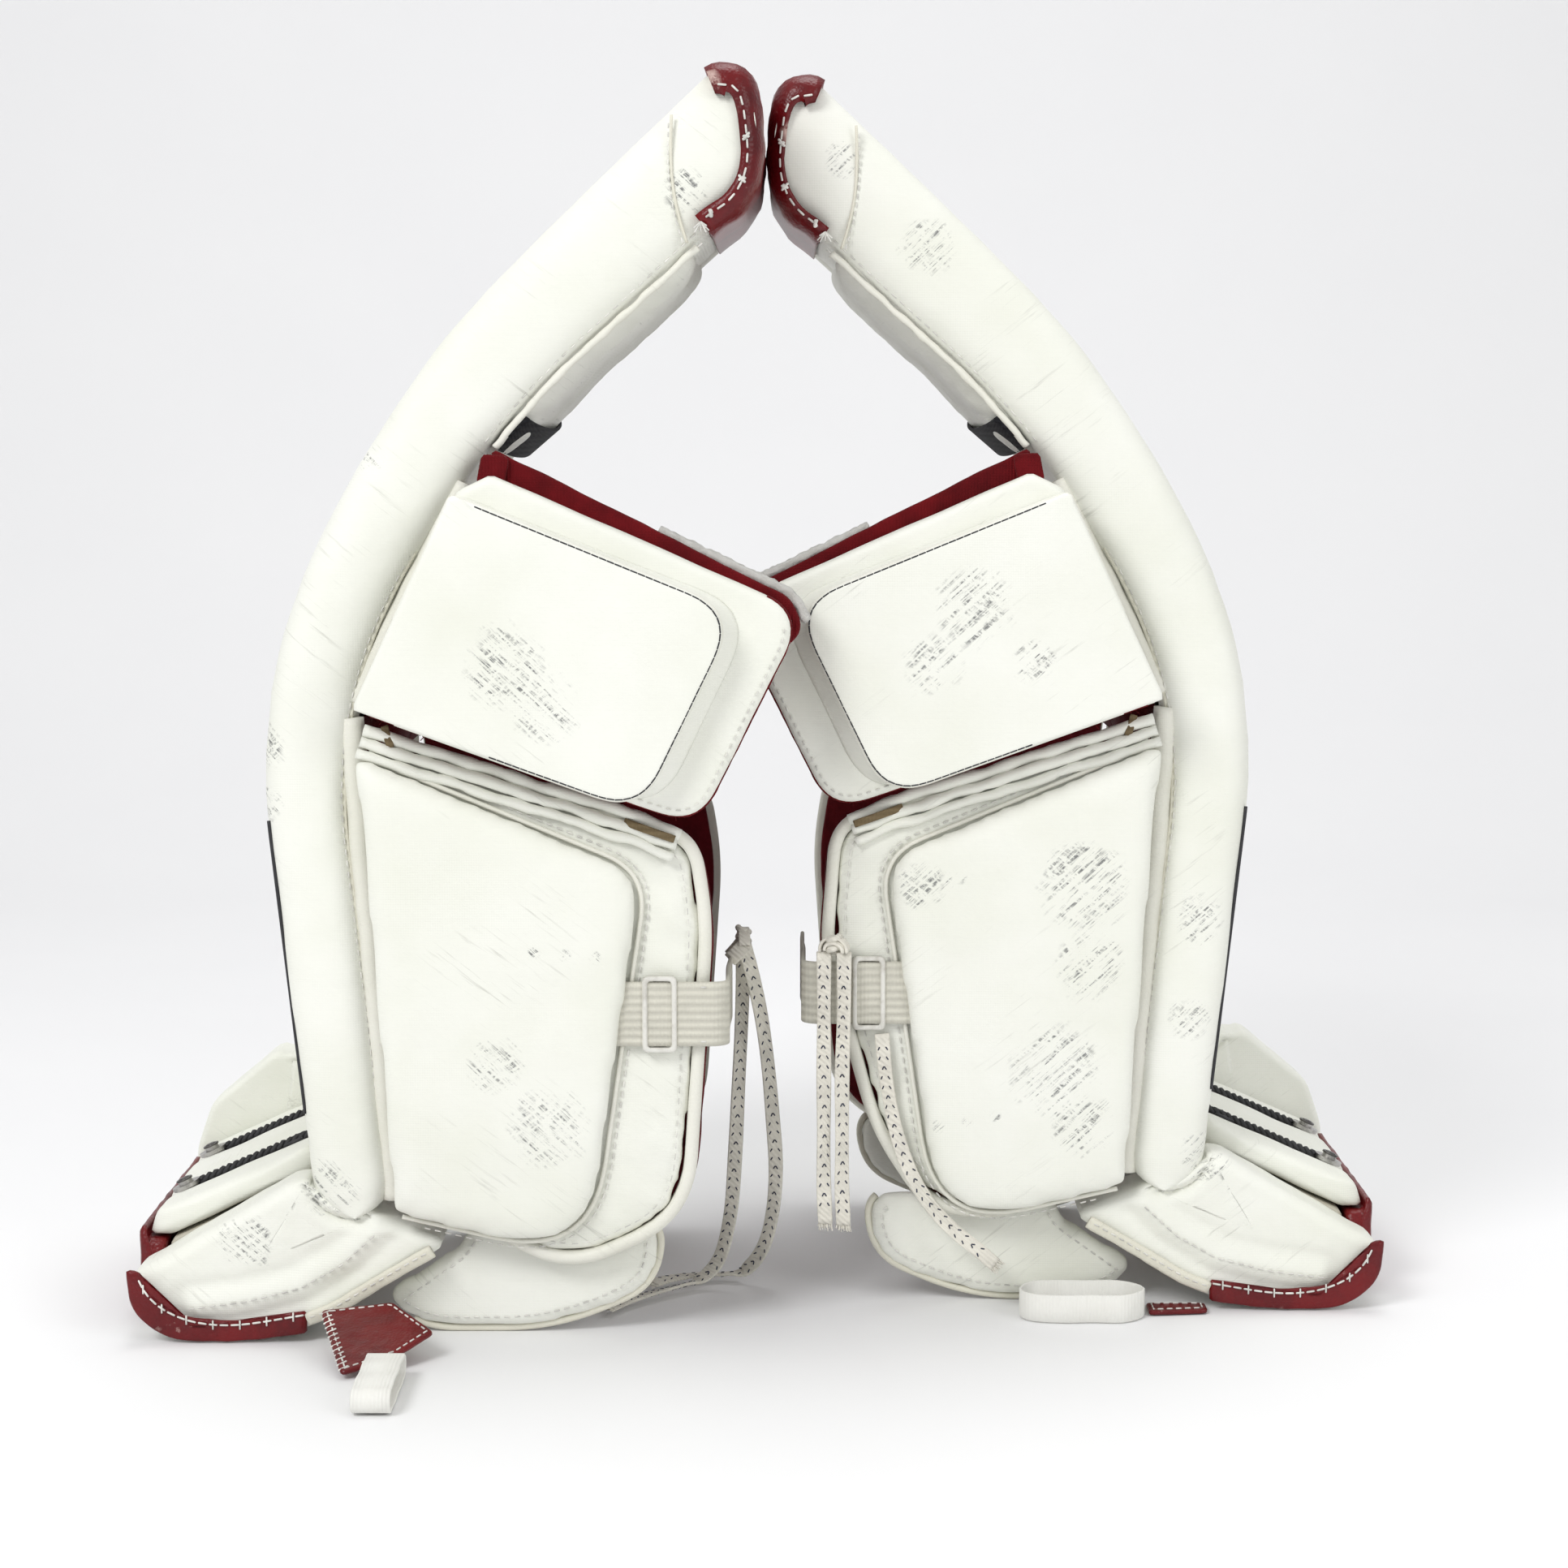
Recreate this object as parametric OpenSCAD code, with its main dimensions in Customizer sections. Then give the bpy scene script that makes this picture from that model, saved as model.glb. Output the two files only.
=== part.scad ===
// A pair of ice hockey goalie leg pads, standing on their boots and leaning together, top to top.
// Each pad is drawn once in its own pad frame, in millimetres: +X out of the playing face, -Y the inner
// (medial) side that carries the knee block and calf landing, +Z up, with the floor at z = 0. The wearer's
// left pad faces +X. The wearer's right pad is its mirror image, faces -X and stands forward of the left.
// Most parts are outlines in the XZ plane, given depth along Y. The rolls are lofts along the pad's curve.

/* [Pad] */
// Width of the pad across the playing face
pad_w = 280; // [276:1:284]
// Thickness of the foam board at the shin
shin_t = 48; // [46:1:48]
// Thickness of the foam board at the top of the thigh rise
thigh_t = 68; // [64:1:70]
// Width of the rounded side roll along the inner edge
side_roll_w = 44; // [42:1:46]
// Height of the outer roll above the playing face
outer_rise = 16; // [12:1:16]
// How far the right pad stands forward of the left pad
stagger = 70; // [70:1:90]
// Distance of each pad from the plane where the tops meet
pad_gap = 5.5; // [5.5:0.5:12]

/* [Straps] */
// Width of the calf webbing
webbing_w = 38; // [34:1:38]
// Diameter of the tube that stands for a flat lace
lace_d = 9; // [8:0.5:9]
// Diameter of the bolt washers at the toe
washer_d = 18; // [16:1:20]

/* [Hidden] */
$fn = 48;
PARTS = [
    "thigh_core", "thigh_face", "thigh_side_roll", "thigh_outer_roll", "thigh_back_pad", "thigh_binding",
    "shin_core", "shin_face", "shin_side_roll", "shin_outer_roll", "leg_channel",
    "knee_block", "knee_panel", "calf_wing", "calf_landing", "calf_strap", "calf_slide", "outer_wing",
    "boot_board", "boot_side", "boot_face", "boot_outer", "boot_binding", "boot_flap", "boot_bolts",
    "toe_tab", "boot_loop"
];
LACES = ["right_lace_long", "right_lace_short", "left_lace_long", "left_lace_short", "left_lace_edge"];

half_w = pad_w / 2;
roll_y = half_w - side_roll_w;      // inner edge of both rolls
core_y = roll_y - 0.5;              // the foam board and its covers span -core_y to core_y
skin_t = 6;                         // padded cover over the board
seam = 0.5;                         // between pieces that are sewn or glued together

// --- The pad's curve: the line of the playing face in the XZ plane, as a function of length s ---
shin_foot = [262, 95];
shin_head = [284, 300];
knee_r = 300;
thigh_r = 560;
shin_len = norm(shin_head - shin_foot);
lean_shin = -atan2(shin_head.x - shin_foot.x, shin_head.y - shin_foot.y);
lean_mid = 24;
lean_top = 46;
s_knee = shin_len + knee_r * (lean_mid - lean_shin) * PI / 180;
s_bend = s_knee + thigh_r * (lean_top - lean_mid) * PI / 180;
s_top = s_bend + 150;
s_split = 447;                      // where the thigh rise flexes on the shin
back_share = 0.82;                  // the back edge of the thigh rise is this much shorter than its face
swell_s = 200;                      // the board thickens evenly above this

function arc_step(r, from, to) = r * [cos(to) - cos(from), sin(to) - sin(from)];
function lean(s) =
    s < shin_len ? lean_shin :
    s < s_knee ? lean_shin + (s - shin_len) / knee_r * 180 / PI :
    s < s_bend ? lean_mid + (s - s_knee) / thigh_r * 180 / PI : lean_top;
knee_end = shin_head + arc_step(knee_r, lean_shin, lean_mid);
bend_end = knee_end + arc_step(thigh_r, lean_mid, lean_top);
function face(s) =
    s < shin_len ? shin_foot + (shin_head - shin_foot) * s / shin_len :
    s < s_knee ? shin_head + arc_step(knee_r, lean_shin, lean(s)) :
    s < s_bend ? knee_end + arc_step(thigh_r, lean_mid, lean(s)) :
    bend_end + (s - s_bend) * [-sin(lean_top), cos(lean_top)];
function outward(s) = [cos(lean(s)), sin(lean(s))];
function board_t(s) = s < swell_s ? shin_t : shin_t + (thigh_t - shin_t) * (s - swell_s) / (s_top - swell_s);
function back_s(s) = s < s_split ? s : s_split + (s - s_split) * back_share;
function back(s) = face(back_s(s)) - outward(back_s(s)) * board_t(back_s(s));
function thickness(s) = norm(back(s) - face(s));

// A section runs from the face to the back. Its ends move inwards by front and rear, or outwards if negative.
function section(s, front, rear) =
    let (f = face(s), b = back(s), d = (b - f) / norm(b - f)) [f + d * front, b - d * rear];
function sections(s0, s1, n, front, rear) = [for (i = [0:n]) section(s0 + (s1 - s0) * i / n, front, rear)];
// A layer from depth k0 to depth k1 under the face, and one from k0 to k1 behind the back.
function layer(s0, s1, n, k0, k1) = [for (i = [0:n]) let (s = s0 + (s1 - s0) * i / n) section(s, k0, thickness(s) - k1)];
function behind(s0, s1, n, k0, k1) =
    [for (i = [0:n]) let (s = s0 + (s1 - s0) * i / n) section(s, thickness(s) + k0, -k1)];
// A rounded end beyond a section, which shrinks along a quarter ellipse as it moves out by sag.
function dome(sec, sag, way, n = 5) =
    let (c = (sec[0] + sec[1]) / 2, h = (sec[0] - sec[1]) / 2, out = way * [-h.y, h.x] / norm(h))
    [for (i = [1:n]) let (a = 84 * i / n) [c + h * cos(a) + out * sag * sin(a), c - h * cos(a) + out * sag * sin(a)]];
function reversed(v) = [for (i = [len(v) - 1:-1:0]) v[i]];
function outline(secs) = concat([for (sec = secs) sec[0]], reversed([for (sec = secs) sec[1]]));
function arc(c, r, a0, a1, n = 8) = [for (i = [0:n]) let (a = a0 + (a1 - a0) * i / n) c + r * [cos(a), sin(a)]];

// An outline whose corners [x, z, radius] are rounded off.
function swing(a, b) = atan2(a.x * b.y - a.y * b.x, a * b);
function fillet(p, q, r, n = 6) =
    let (
        c = [q.x, q.y],
        u = ([p.x, p.y] - c) / norm([p.x, p.y] - c),
        v = ([r.x, r.y] - c) / norm([r.x, r.y] - c),
        half = acos(u * v) / 2,
        centre = c + (u + v) / norm(u + v) * q.z / sin(half),
        a0 = c + u * q.z / tan(half) - centre,
        turn = swing(a0, c + v * q.z / tan(half) - centre)
    )
    q.z == 0 ? [c] : [for (i = [0:n]) let (a = turn * i / n)
        centre + [a0.x * cos(a) - a0.y * sin(a), a0.x * sin(a) + a0.y * cos(a)]];
function rounded(pts) = [for (i = [0:len(pts) - 1])
    each fillet(pts[(i + len(pts) - 1) % len(pts)], pts[i], pts[(i + 1) % len(pts)])];

// --- Building blocks ---
// Gives an XZ outline depth from y0 to y1.
module slab(points, y0, y1) {
    translate([0, y1, 0]) rotate([90, 0, 0]) linear_extrude(height = y1 - y0) polygon(points);
}

// A closed skin over rings of points, each ring with the same number of points.
module skin(rings) {
    m = len(rings[0]);
    n = len(rings);
    polyhedron(
        points = [for (ring = rings) each ring],
        faces = concat(
            [[for (i = [0:m - 1]) i]],
            [for (j = [0:n - 2]) for (i = [0:m - 1])
                let (a = j * m + i, b = j * m + (i + 1) % m) [a, a + m, b + m, b]],
            [[for (i = [m - 1:-1:0]) (n - 1) * m + i]]
        )
    );
}

// A loft through sections: each ring is a rounded rectangle with corner radius r, from y0 to y1.
function loft_ring(sec, y0, y1, r, n = 3) =
    let (t = norm(sec[1] - sec[0]), k = min(r, t / 2 - 0.01), d = (sec[1] - sec[0]) / t)
    [for (corner = [[k, y0 + r, 180], [t - k, y0 + r, 270], [t - k, y1 - r, 0], [k, y1 - r, 90]])
        for (i = [0:n]) let (a = corner[2] + 90 * i / n, p = sec[0] + d * (corner[0] + k * cos(a)))
            [p.x, corner[1] + r * sin(a), p.y]];
module loft(secs, y0, y1, r) {
    skin([for (sec = secs) loft_ring(sec, y0, y1, r)]);
}

// A round tube along points.
function tangent(path, i) =
    let (d = path[min(i + 1, len(path) - 1)] - path[max(i - 1, 0)]) d / norm(d);
function tube_ring(path, i, r, sides) =
    let (t = tangent(path, i), u = cross(t, [0.3, 0.9, 0.3]) / norm(cross(t, [0.3, 0.9, 0.3])), v = cross(t, u))
    [for (k = [0:sides - 1]) path[i] + r * (u * cos(360 * k / sides) + v * sin(360 * k / sides))];
module tube(path, r, sides = 8) {
    skin([for (i = [0:len(path) - 1]) reversed(tube_ring(path, i, r, sides))]);
}

// --- Thigh rise ---
thigh_s = s_split + 2;
top_sag = 25;
binding_t = 4;
function thigh_secs(front, rear, sag) =
    let (secs = sections(thigh_s, s_top, 10, front, rear)) concat(secs, dome(secs[10], sag, 1));

module thigh_core() {
    color("tan") slab(outline(thigh_secs(skin_t + seam, skin_t + seam, top_sag - 9)), -core_y, core_y);
}
module thigh_face() {
    color("white") slab(outline(layer(thigh_s, s_top, 10, 0, skin_t)), -core_y, core_y);
}
module thigh_side_roll() {
    color("white") loft(thigh_secs(0, 0, top_sag), -half_w, -roll_y, 16);
}
module thigh_outer_roll() {
    color("white") loft(thigh_secs(-outer_rise, 0, top_sag), roll_y, half_w, 16);
}
module thigh_back_pad() {
    color("white") slab(outline(behind(thigh_s + 22, s_top - 25, 8, seam, 16)), -half_w + 8, half_w - 8);
}
// The leather cap over the top end, a band that follows the domed end from the face to the back and stops at the
// outer roll.
module thigh_binding() {
    sec = section(s_top, 0, 0);
    cap = concat([sec], dome(sec, top_sag, 1, 7));
    outer = section(s_top, -binding_t, -binding_t);
    shell = concat([outer], dome(outer, top_sag + binding_t, 1, 7));
    gap = concat([section(s_top, -seam, -seam)], dome(section(s_top, -seam, -seam), top_sag + seam, 1, 7));
    color("darkred") difference() {
        slab(outline(shell), -half_w, core_y);
        slab(outline(gap), -half_w - 1, half_w + 1);
    }
}

// --- Shin ---
shin_s = 2;
shin_end = s_split - 2;
knuckle = (face(0) + back(0)) / 2;  // the boot flexes about this point
foot_sag = shin_t / 2;
function shin_secs(front, rear, sag) =
    let (secs = sections(0, shin_end, 12, front, rear)) concat(reversed(dome(secs[0], sag, -1)), secs);

module shin_core() {
    color("tan") slab(outline(shin_secs(skin_t + seam, skin_t + seam, foot_sag - skin_t - 1)), -core_y, core_y);
}
module shin_face() {
    color("white") slab(outline(layer(shin_s, shin_end, 12, 0, skin_t)), -core_y, core_y);
}
module shin_side_roll() {
    color("white") loft(shin_secs(0, 0, foot_sag), -half_w, -roll_y, 16);
}
module shin_outer_roll() {
    color("white") loft(shin_secs(-outer_rise, 0, foot_sag + outer_rise / 2 - 1), roll_y, half_w, 16);
}
// Two liner pads against the back of the board, for the calf and for the knee.
channel_y = core_y - 1;
module leg_channel() {
    color("firebrick") {
        slab(outline(concat(behind(18, 24, 1, -skin_t, 14), behind(34, 225, 5, -skin_t, 22))), -channel_y, channel_y);
        slab(outline(concat(behind(235, 425, 6, -skin_t, 28), behind(432, 438, 1, -skin_t, 18))), -channel_y, channel_y);
    }
}

// --- Knee block, hinged along the seam at the back of the side roll ---
block_seam = [[169, 500], [230, 374]];
block_back = -116;                  // rear plane of the block, in the leg channel
block_front = -180;                 // front plane of the raised panel
block_outline = [[169, 499, 3], [150, 508, 4], [-28, 430, 24], [33, 308, 26], [229, 374, 4]];
core_outline = [[152, 489, 4], [-25, 422, 22], [34, 311, 24], [212, 371, 4]];
panel_outline = [[168, 497, 4], [6, 431, 28], [62, 315, 30], [225, 376, 4]];
module knee_block() {
    color("white") {
        slab(rounded(core_outline), block_back - 26.5, block_back);
        slab(rounded(block_outline), block_front + 22, block_back - 26.5);
        slab(rounded([for (p = panel_outline) p + [p.x < 100 ? -10 : 0, 0, 0]]), block_front + 9, block_front + 22);
    }
}
module knee_panel() {
    color("white") slab(rounded(panel_outline), block_front, block_front + 9 - seam);
}

// --- Calf wing with its landing, hinged along the seam at the back of the side roll ---
wing_back = -127;
wing_front = -140.4;
landing_front = -154;
wing_outline = [[229, 362, 4], [34, 300, 26], [26, 250, 60], [38, 74, 40], [112, 40, 40], [168, 74, 10], [206, 92, 4]];
landing_outline = [[230, 350, 6], [62, 280, 26], [96, 50, 44], [211, 77, 8]];
module calf_wing() {
    color("white") slab(rounded(wing_outline), wing_front, wing_back);
}
module calf_landing() {
    color("white") slab(rounded(landing_outline), landing_front, wing_front - seam);
}
// Webbing that leaves the landing, passes the slide and folds back round the wing's free edge.
strap_z = 178;
strap_t = 2.5;
strap_front = -147.5;
strap_foot = 69;                    // where the strap comes out from beside the landing
strap_end = -30;
module calf_strap() {
    turn_r = 10.5;
    turn = [26, strap_front + turn_r];
    inside = turn.x - turn_r + strap_t;
    fold = concat([[strap_foot, strap_front]], arc(turn, turn_r, 270, 180, 6), [[inside - strap_t, strap_end]],
        [[inside, strap_end]], reversed(arc(turn, turn_r - strap_t, 270, 180, 6)), [[strap_foot, strap_front + strap_t]]);
    color("ivory") translate([0, 0, strap_z]) linear_extrude(height = webbing_w) polygon(fold);
}
slide_x = 56;
slide_w = 20;
module calf_slide() {
    play = 0.7;
    rim = 3;
    color("white") translate([slide_x, strap_front + strap_t / 2, strap_z + webbing_w / 2]) difference() {
        cube([slide_w, strap_t + 2 * play + 4.2, webbing_w + 2 * play + 2 * rim], center = true);
        cube([slide_w + 2, strap_t + 2 * play, webbing_w + 2 * play], center = true);
    }
}
// The wing on the outer side of the calf.
outer_wing_front = 127;
module outer_wing() {
    color("white") slab(rounded(wing_outline), outer_wing_front, half_w);
}

// --- Boot, which flexes about the knuckle at the foot of the shin ---
flex_gap = 1.8;
flex_room = 12;                     // degrees of toe-up travel left free in front of the shin
boot_arc_r = foot_sag + flex_gap;
board_y = core_y - 1;
toe = [366, 30];
function boot_arc(a0, a1) = arc(knuckle, boot_arc_r, a0, a1, 8);
// A point on the free line in front of the shin: rise is the shin's own height there, up is along the line.
function free_line(rise, up) =
    let (a = lean_shin - flex_room)
    knuckle + (foot_sag + rise + flex_gap) * [cos(a), sin(a)] + up * [-sin(a), cos(a)];
module boot_board() {
    toe_end = [[352, 50], [354, 36], [345, 6], [335, 0], [300, 0], [262, 34]];
    color("tan") slab(concat(boot_arc(-110, -14), toe_end), -board_y, board_y);
}
module boot_side() {
    edge = rounded([[272, 95, 4], [368, 38, 5], [364, 22, 6], [340, 5, 12], [303, 0, 20], [263, 6, 10],
        [233, 25, 10], [180, 58, 6], [204, 68, 4]]);
    color("white") slab(concat(boot_arc(-114, -6), edge), -half_w, -roll_y);
}
// Three padded panels along the face of the boot, with two grooves between them.
groove_y = 47;
groove_w = 6;
face_toe = [361, 66];
module boot_face() {
    panel = [free_line(0, 4), free_line(0, 18), face_toe, [366, 52], [352.6, 51.5]];
    inner = groove_y - groove_w / 2;
    color("white") {
        slab(panel, -core_y, -groove_y - groove_w / 2);
        slab(panel, -inner, inner);
        slab(panel, groove_y + groove_w / 2, core_y);
    }
}
module boot_outer() {
    edge = rounded([[316, 128, 8], [360, 92, 10], [371, 60, 6], [366, 26, 8], [340, 5, 12], [303, 0, 20],
        [263, 6, 10], [228, 25, 10], [190, 50, 8]]);
    rear = arc(knuckle, foot_sag + outer_rise + flex_gap, -110, lean_shin - flex_room);
    color("white") slab(concat(rear, [free_line(outer_rise, 45)], edge), roll_y, half_w);
}
// Leather trim round the toe end and along the lower edge of the inner side.
module boot_binding() {
    toe_edge = [[367.5, 60], [371, 56], [371, 26], [352, 2], [347.5, 4], [356.5, 35], [354.5, 50], [367, 50.5]];
    low_edge = [[369, 40], [367, 20], [342, 1], [303, 0], [264, 6], [264, 20], [303, 14], [338, 18], [356, 32]];
    color("darkred") {
        slab(toe_edge, -core_y, core_y);
        slab(low_edge, -half_w - 3.5, -half_w - seam);
    }
}
// Padded flaps that close the sides of the boot channel round the skate, the same on both sides.
flap_y = 106;
flap_t = 20;
module boot_flap() {
    edge = rounded([[168, 74, 6], [176, 54, 4], [226, 20, 8], [196, 0, 14], [120, 0, 30], [58, 30, 24], [54, 70, 12]]);
    color("white") {
        slab(edge, -flap_y - flap_t, -flap_y);
        slab(edge, flap_y, flap_y + flap_t);
    }
}
// A washer and a bolt head at the toe end of each groove.
module boot_bolts() {
    slope = atan2(free_line(0, 18).y - face_toe.y, face_toe.x - free_line(0, 18).x);
    washer_t = 2.4;
    from_toe = 12;
    color("silver") for (y = [-groove_y, groove_y])
        translate([face_toe.x, y, face_toe.y]) rotate([0, slope, 0]) translate([-from_toe, 0, 0.3]) {
            cylinder(d = washer_d, h = washer_t);
            cylinder(d = washer_d / 2, h = washer_t * 2);
        }
}

// --- Toe tab and its elastic loop, hinged at the lower inner edge of the boot ---
tab_t = 3;
tab_z = 0.5;
loop_t = 1.6;
tab_slope = 16;                     // the right tab slopes down to the floor from the boot's lower edge
right_tab = [[254, -9], [213, 0], [186, -32], [204, -56], [234, -76]];
left_tab = [[262, -152], [226, -156], [226, -136], [262, -136]];
module tab_plate(points) {
    color("darkred") linear_extrude(height = tab_t) polygon(points);
}
module right_toe_tab() {
    translate([0, -145, 23]) rotate([tab_slope, 0, 0]) tab_plate(right_tab);
}
module left_toe_tab() {
    translate([0, 0, tab_z]) tab_plate(left_tab);
}
// A flattened ring of elastic, of the given length, height and band width, drawn along +X from its end.
module loop_ring(len, high, band) {
    r = high / 2;
    color("white") difference() {
        linear_extrude(height = band) hull() for (x = [r, len - r]) translate([x, 0]) circle(r);
        translate([0, 0, -1]) linear_extrude(height = band + 2)
            hull() for (x = [r, len - r]) translate([x, 0]) circle(r - loop_t);
    }
}
right_loop_y = -210;
right_loop_z = 8;
loop_len = 76;
module right_boot_loop() {
    translate([198, right_loop_y, right_loop_z]) rotate([0, 90, 0]) rotate([0, 0, -90]) loop_ring(loop_len, 14, 22);
}
module left_boot_loop() {
    translate([148, -154, tab_z]) loop_ring(74, 36, 17);
}

// --- Laces: the middle of each free strand, from the strap to its end ---
right_long = [[8, -58, 223], [3, -57, 204], [-2, -54, 180], [-6, -48, 150], [-9, -42, 115], [-11, -34, 80],
    [-9, -26, 50], [-3, -17, 25], [8, -10, 9], [22, -6, 5], [38, -8, 5], [54, -16, 5], [66, -28, 5]];
right_short = [[9, -45, 223], [9, -44, 200], [10, -42, 170], [12, -38, 130], [14, -32, 90], [17, -26, 50],
    [24, -22, 20], [36, -26, 7], [50, -36, 5], [66, -52, 5], [80, -68, 5], [90, -84, 5]];
left_long = [[29, -153, 223], [29, -154, 195], [29, -155, 160], [29, -155, 120], [29, -154, 85], [30, -153, 57]];
left_short = [[41, -156, 223], [41, -157, 190], [40, -156, 150], [40, -155, 110], [40, -154, 80], [41, -153, 56]];
left_edge = [[64, -146, 172], [66, -146, 150], [69, -146, 130], [74, -146, 108], [82, -146, 86], [94, -146, 66],
    [108, -147, 51], [122, -149, 40], [133, -151, 31]];
module lace(path) {
    color("ivory") tube(path, lace_d / 2);
}

// --- The pair, with the right pad mirrored and forward, and the whole centred over the origin ---
loop_reach = -right_loop_y + loop_len;
right_y = (loop_reach - stagger - half_w) / 2;
module right() {
    translate([-pad_gap, right_y, 0]) mirror([1, 0, 0]) children();
}
module left() {
    translate([pad_gap, right_y + stagger, 0]) children();
}

right() thigh_core();  // right_thigh_core
right() thigh_face();  // right_thigh_face
right() thigh_side_roll();  // right_thigh_side_roll
right() thigh_outer_roll();  // right_thigh_outer_roll
right() thigh_back_pad();  // right_thigh_back_pad
right() thigh_binding();  // right_thigh_binding
right() shin_core();  // right_shin_core
right() shin_face();  // right_shin_face
right() shin_side_roll();  // right_shin_side_roll
right() shin_outer_roll();  // right_shin_outer_roll
right() leg_channel();  // right_leg_channel
right() knee_block();  // right_knee_block
right() knee_panel();  // right_knee_panel
right() calf_wing();  // right_calf_wing
right() calf_landing();  // right_calf_landing
right() calf_strap();  // right_calf_strap
right() calf_slide();  // right_calf_slide
right() outer_wing();  // right_outer_wing
right() boot_board();  // right_boot_board
right() boot_side();  // right_boot_side
right() boot_face();  // right_boot_face
right() boot_outer();  // right_boot_outer
right() boot_binding();  // right_boot_binding
right() boot_flap();  // right_boot_flap
right() boot_bolts();  // right_boot_bolts
right() right_toe_tab();
right() right_boot_loop();
left() thigh_core();  // left_thigh_core
left() thigh_face();  // left_thigh_face
left() thigh_side_roll();  // left_thigh_side_roll
left() thigh_outer_roll();  // left_thigh_outer_roll
left() thigh_back_pad();  // left_thigh_back_pad
left() thigh_binding();  // left_thigh_binding
left() shin_core();  // left_shin_core
left() shin_face();  // left_shin_face
left() shin_side_roll();  // left_shin_side_roll
left() shin_outer_roll();  // left_shin_outer_roll
left() leg_channel();  // left_leg_channel
left() knee_block();  // left_knee_block
left() knee_panel();  // left_knee_panel
left() calf_wing();  // left_calf_wing
left() calf_landing();  // left_calf_landing
left() calf_strap();  // left_calf_strap
left() calf_slide();  // left_calf_slide
left() outer_wing();  // left_outer_wing
left() boot_board();  // left_boot_board
left() boot_side();  // left_boot_side
left() boot_face();  // left_boot_face
left() boot_outer();  // left_boot_outer
left() boot_binding();  // left_boot_binding
left() boot_flap();  // left_boot_flap
left() boot_bolts();  // left_boot_bolts
left() left_toe_tab();
left() left_boot_loop();
right() lace(right_long);  // right_lace_long
right() lace(right_short);  // right_lace_short
left() lace(left_long);  // left_lace_long
left() lace(left_short);  // left_lace_short
left() lace(left_edge);  // left_lace_edge
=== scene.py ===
"""A pair of ice hockey goalie leg pads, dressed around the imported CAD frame.

Every piece is drawn once in a pad frame, in millimetres: +X out of the playing face, -Y the inner side,
+Z up. place() puts it on the left pad as it is, and on the right pad mirrored.
"""

import math

import bpy
import numpy as np
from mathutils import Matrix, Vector, noise


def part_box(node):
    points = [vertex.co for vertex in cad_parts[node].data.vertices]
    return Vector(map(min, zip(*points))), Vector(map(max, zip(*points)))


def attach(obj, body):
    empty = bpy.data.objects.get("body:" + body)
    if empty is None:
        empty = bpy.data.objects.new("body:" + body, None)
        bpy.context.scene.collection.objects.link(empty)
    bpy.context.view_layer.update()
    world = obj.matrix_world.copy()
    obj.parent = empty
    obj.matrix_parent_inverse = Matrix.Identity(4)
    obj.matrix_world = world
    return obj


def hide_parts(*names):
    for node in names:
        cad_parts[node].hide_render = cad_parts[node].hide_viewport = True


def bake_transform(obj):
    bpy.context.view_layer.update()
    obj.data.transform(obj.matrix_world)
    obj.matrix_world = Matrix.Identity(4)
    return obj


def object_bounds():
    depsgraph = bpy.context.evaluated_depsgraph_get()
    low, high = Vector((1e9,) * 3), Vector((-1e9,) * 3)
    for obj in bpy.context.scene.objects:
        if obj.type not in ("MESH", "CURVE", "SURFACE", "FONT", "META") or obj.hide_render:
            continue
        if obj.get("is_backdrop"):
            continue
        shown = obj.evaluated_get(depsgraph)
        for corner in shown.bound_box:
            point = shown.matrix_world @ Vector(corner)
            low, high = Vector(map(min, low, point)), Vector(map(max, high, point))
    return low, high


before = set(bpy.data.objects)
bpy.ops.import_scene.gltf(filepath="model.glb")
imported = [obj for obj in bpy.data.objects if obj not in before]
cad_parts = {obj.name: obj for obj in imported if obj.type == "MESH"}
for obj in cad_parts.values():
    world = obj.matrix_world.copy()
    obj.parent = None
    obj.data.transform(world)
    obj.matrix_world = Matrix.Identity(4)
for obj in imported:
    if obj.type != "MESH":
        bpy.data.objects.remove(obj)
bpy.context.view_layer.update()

MM = 0.001

# --- The two pads, placed from the frame ---
TOE_X = 371.0  # pad-frame x of the toe binding's tip
SIDES = {}
for side, way in (("right", -1), ("left", 1)):
    low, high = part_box(f"{side}_boot_binding")
    tip = high.x if way > 0 else -low.x
    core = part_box(f"{side}_shin_core")
    SIDES[side] = (way, tip / MM - TOE_X, (core[0].y + core[1].y) / 2 / MM)


def place(points, side):
    """Pad-frame millimetres to row-frame metres."""
    way, gap, middle = SIDES[side]
    p = np.asarray(points, float).reshape(-1, 3)
    return np.stack([way * (p[:, 0] + gap), p[:, 1] + middle, p[:, 2]], axis=1) * MM


# --- The pad's curve, as in the design ---
SHIN_FOOT, SHIN_HEAD = np.array([262.0, 95.0]), np.array([284.0, 300.0])
KNEE_R, THIGH_R = 300.0, 560.0
SHIN_T, THIGH_T = 48.0, 68.0
SHIN_LEN = float(np.linalg.norm(SHIN_HEAD - SHIN_FOOT))
LEAN_SHIN = -math.atan2(*(SHIN_HEAD - SHIN_FOOT))
LEAN_MID, LEAN_TOP = math.radians(24), math.radians(46)
S_KNEE = SHIN_LEN + KNEE_R * (LEAN_MID - LEAN_SHIN)
S_BEND = S_KNEE + THIGH_R * (LEAN_TOP - LEAN_MID)
S_TOP = S_BEND + 150
S_SPLIT = 447.0
BACK_SHARE = 0.82
SWELL_S = 200.0


def unit(v):
    v = np.asarray(v, float)
    return v / max(np.linalg.norm(v), 1e-9)


def arc_step(r, a, b):
    return r * np.array([math.cos(b) - math.cos(a), math.sin(b) - math.sin(a)])


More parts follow.
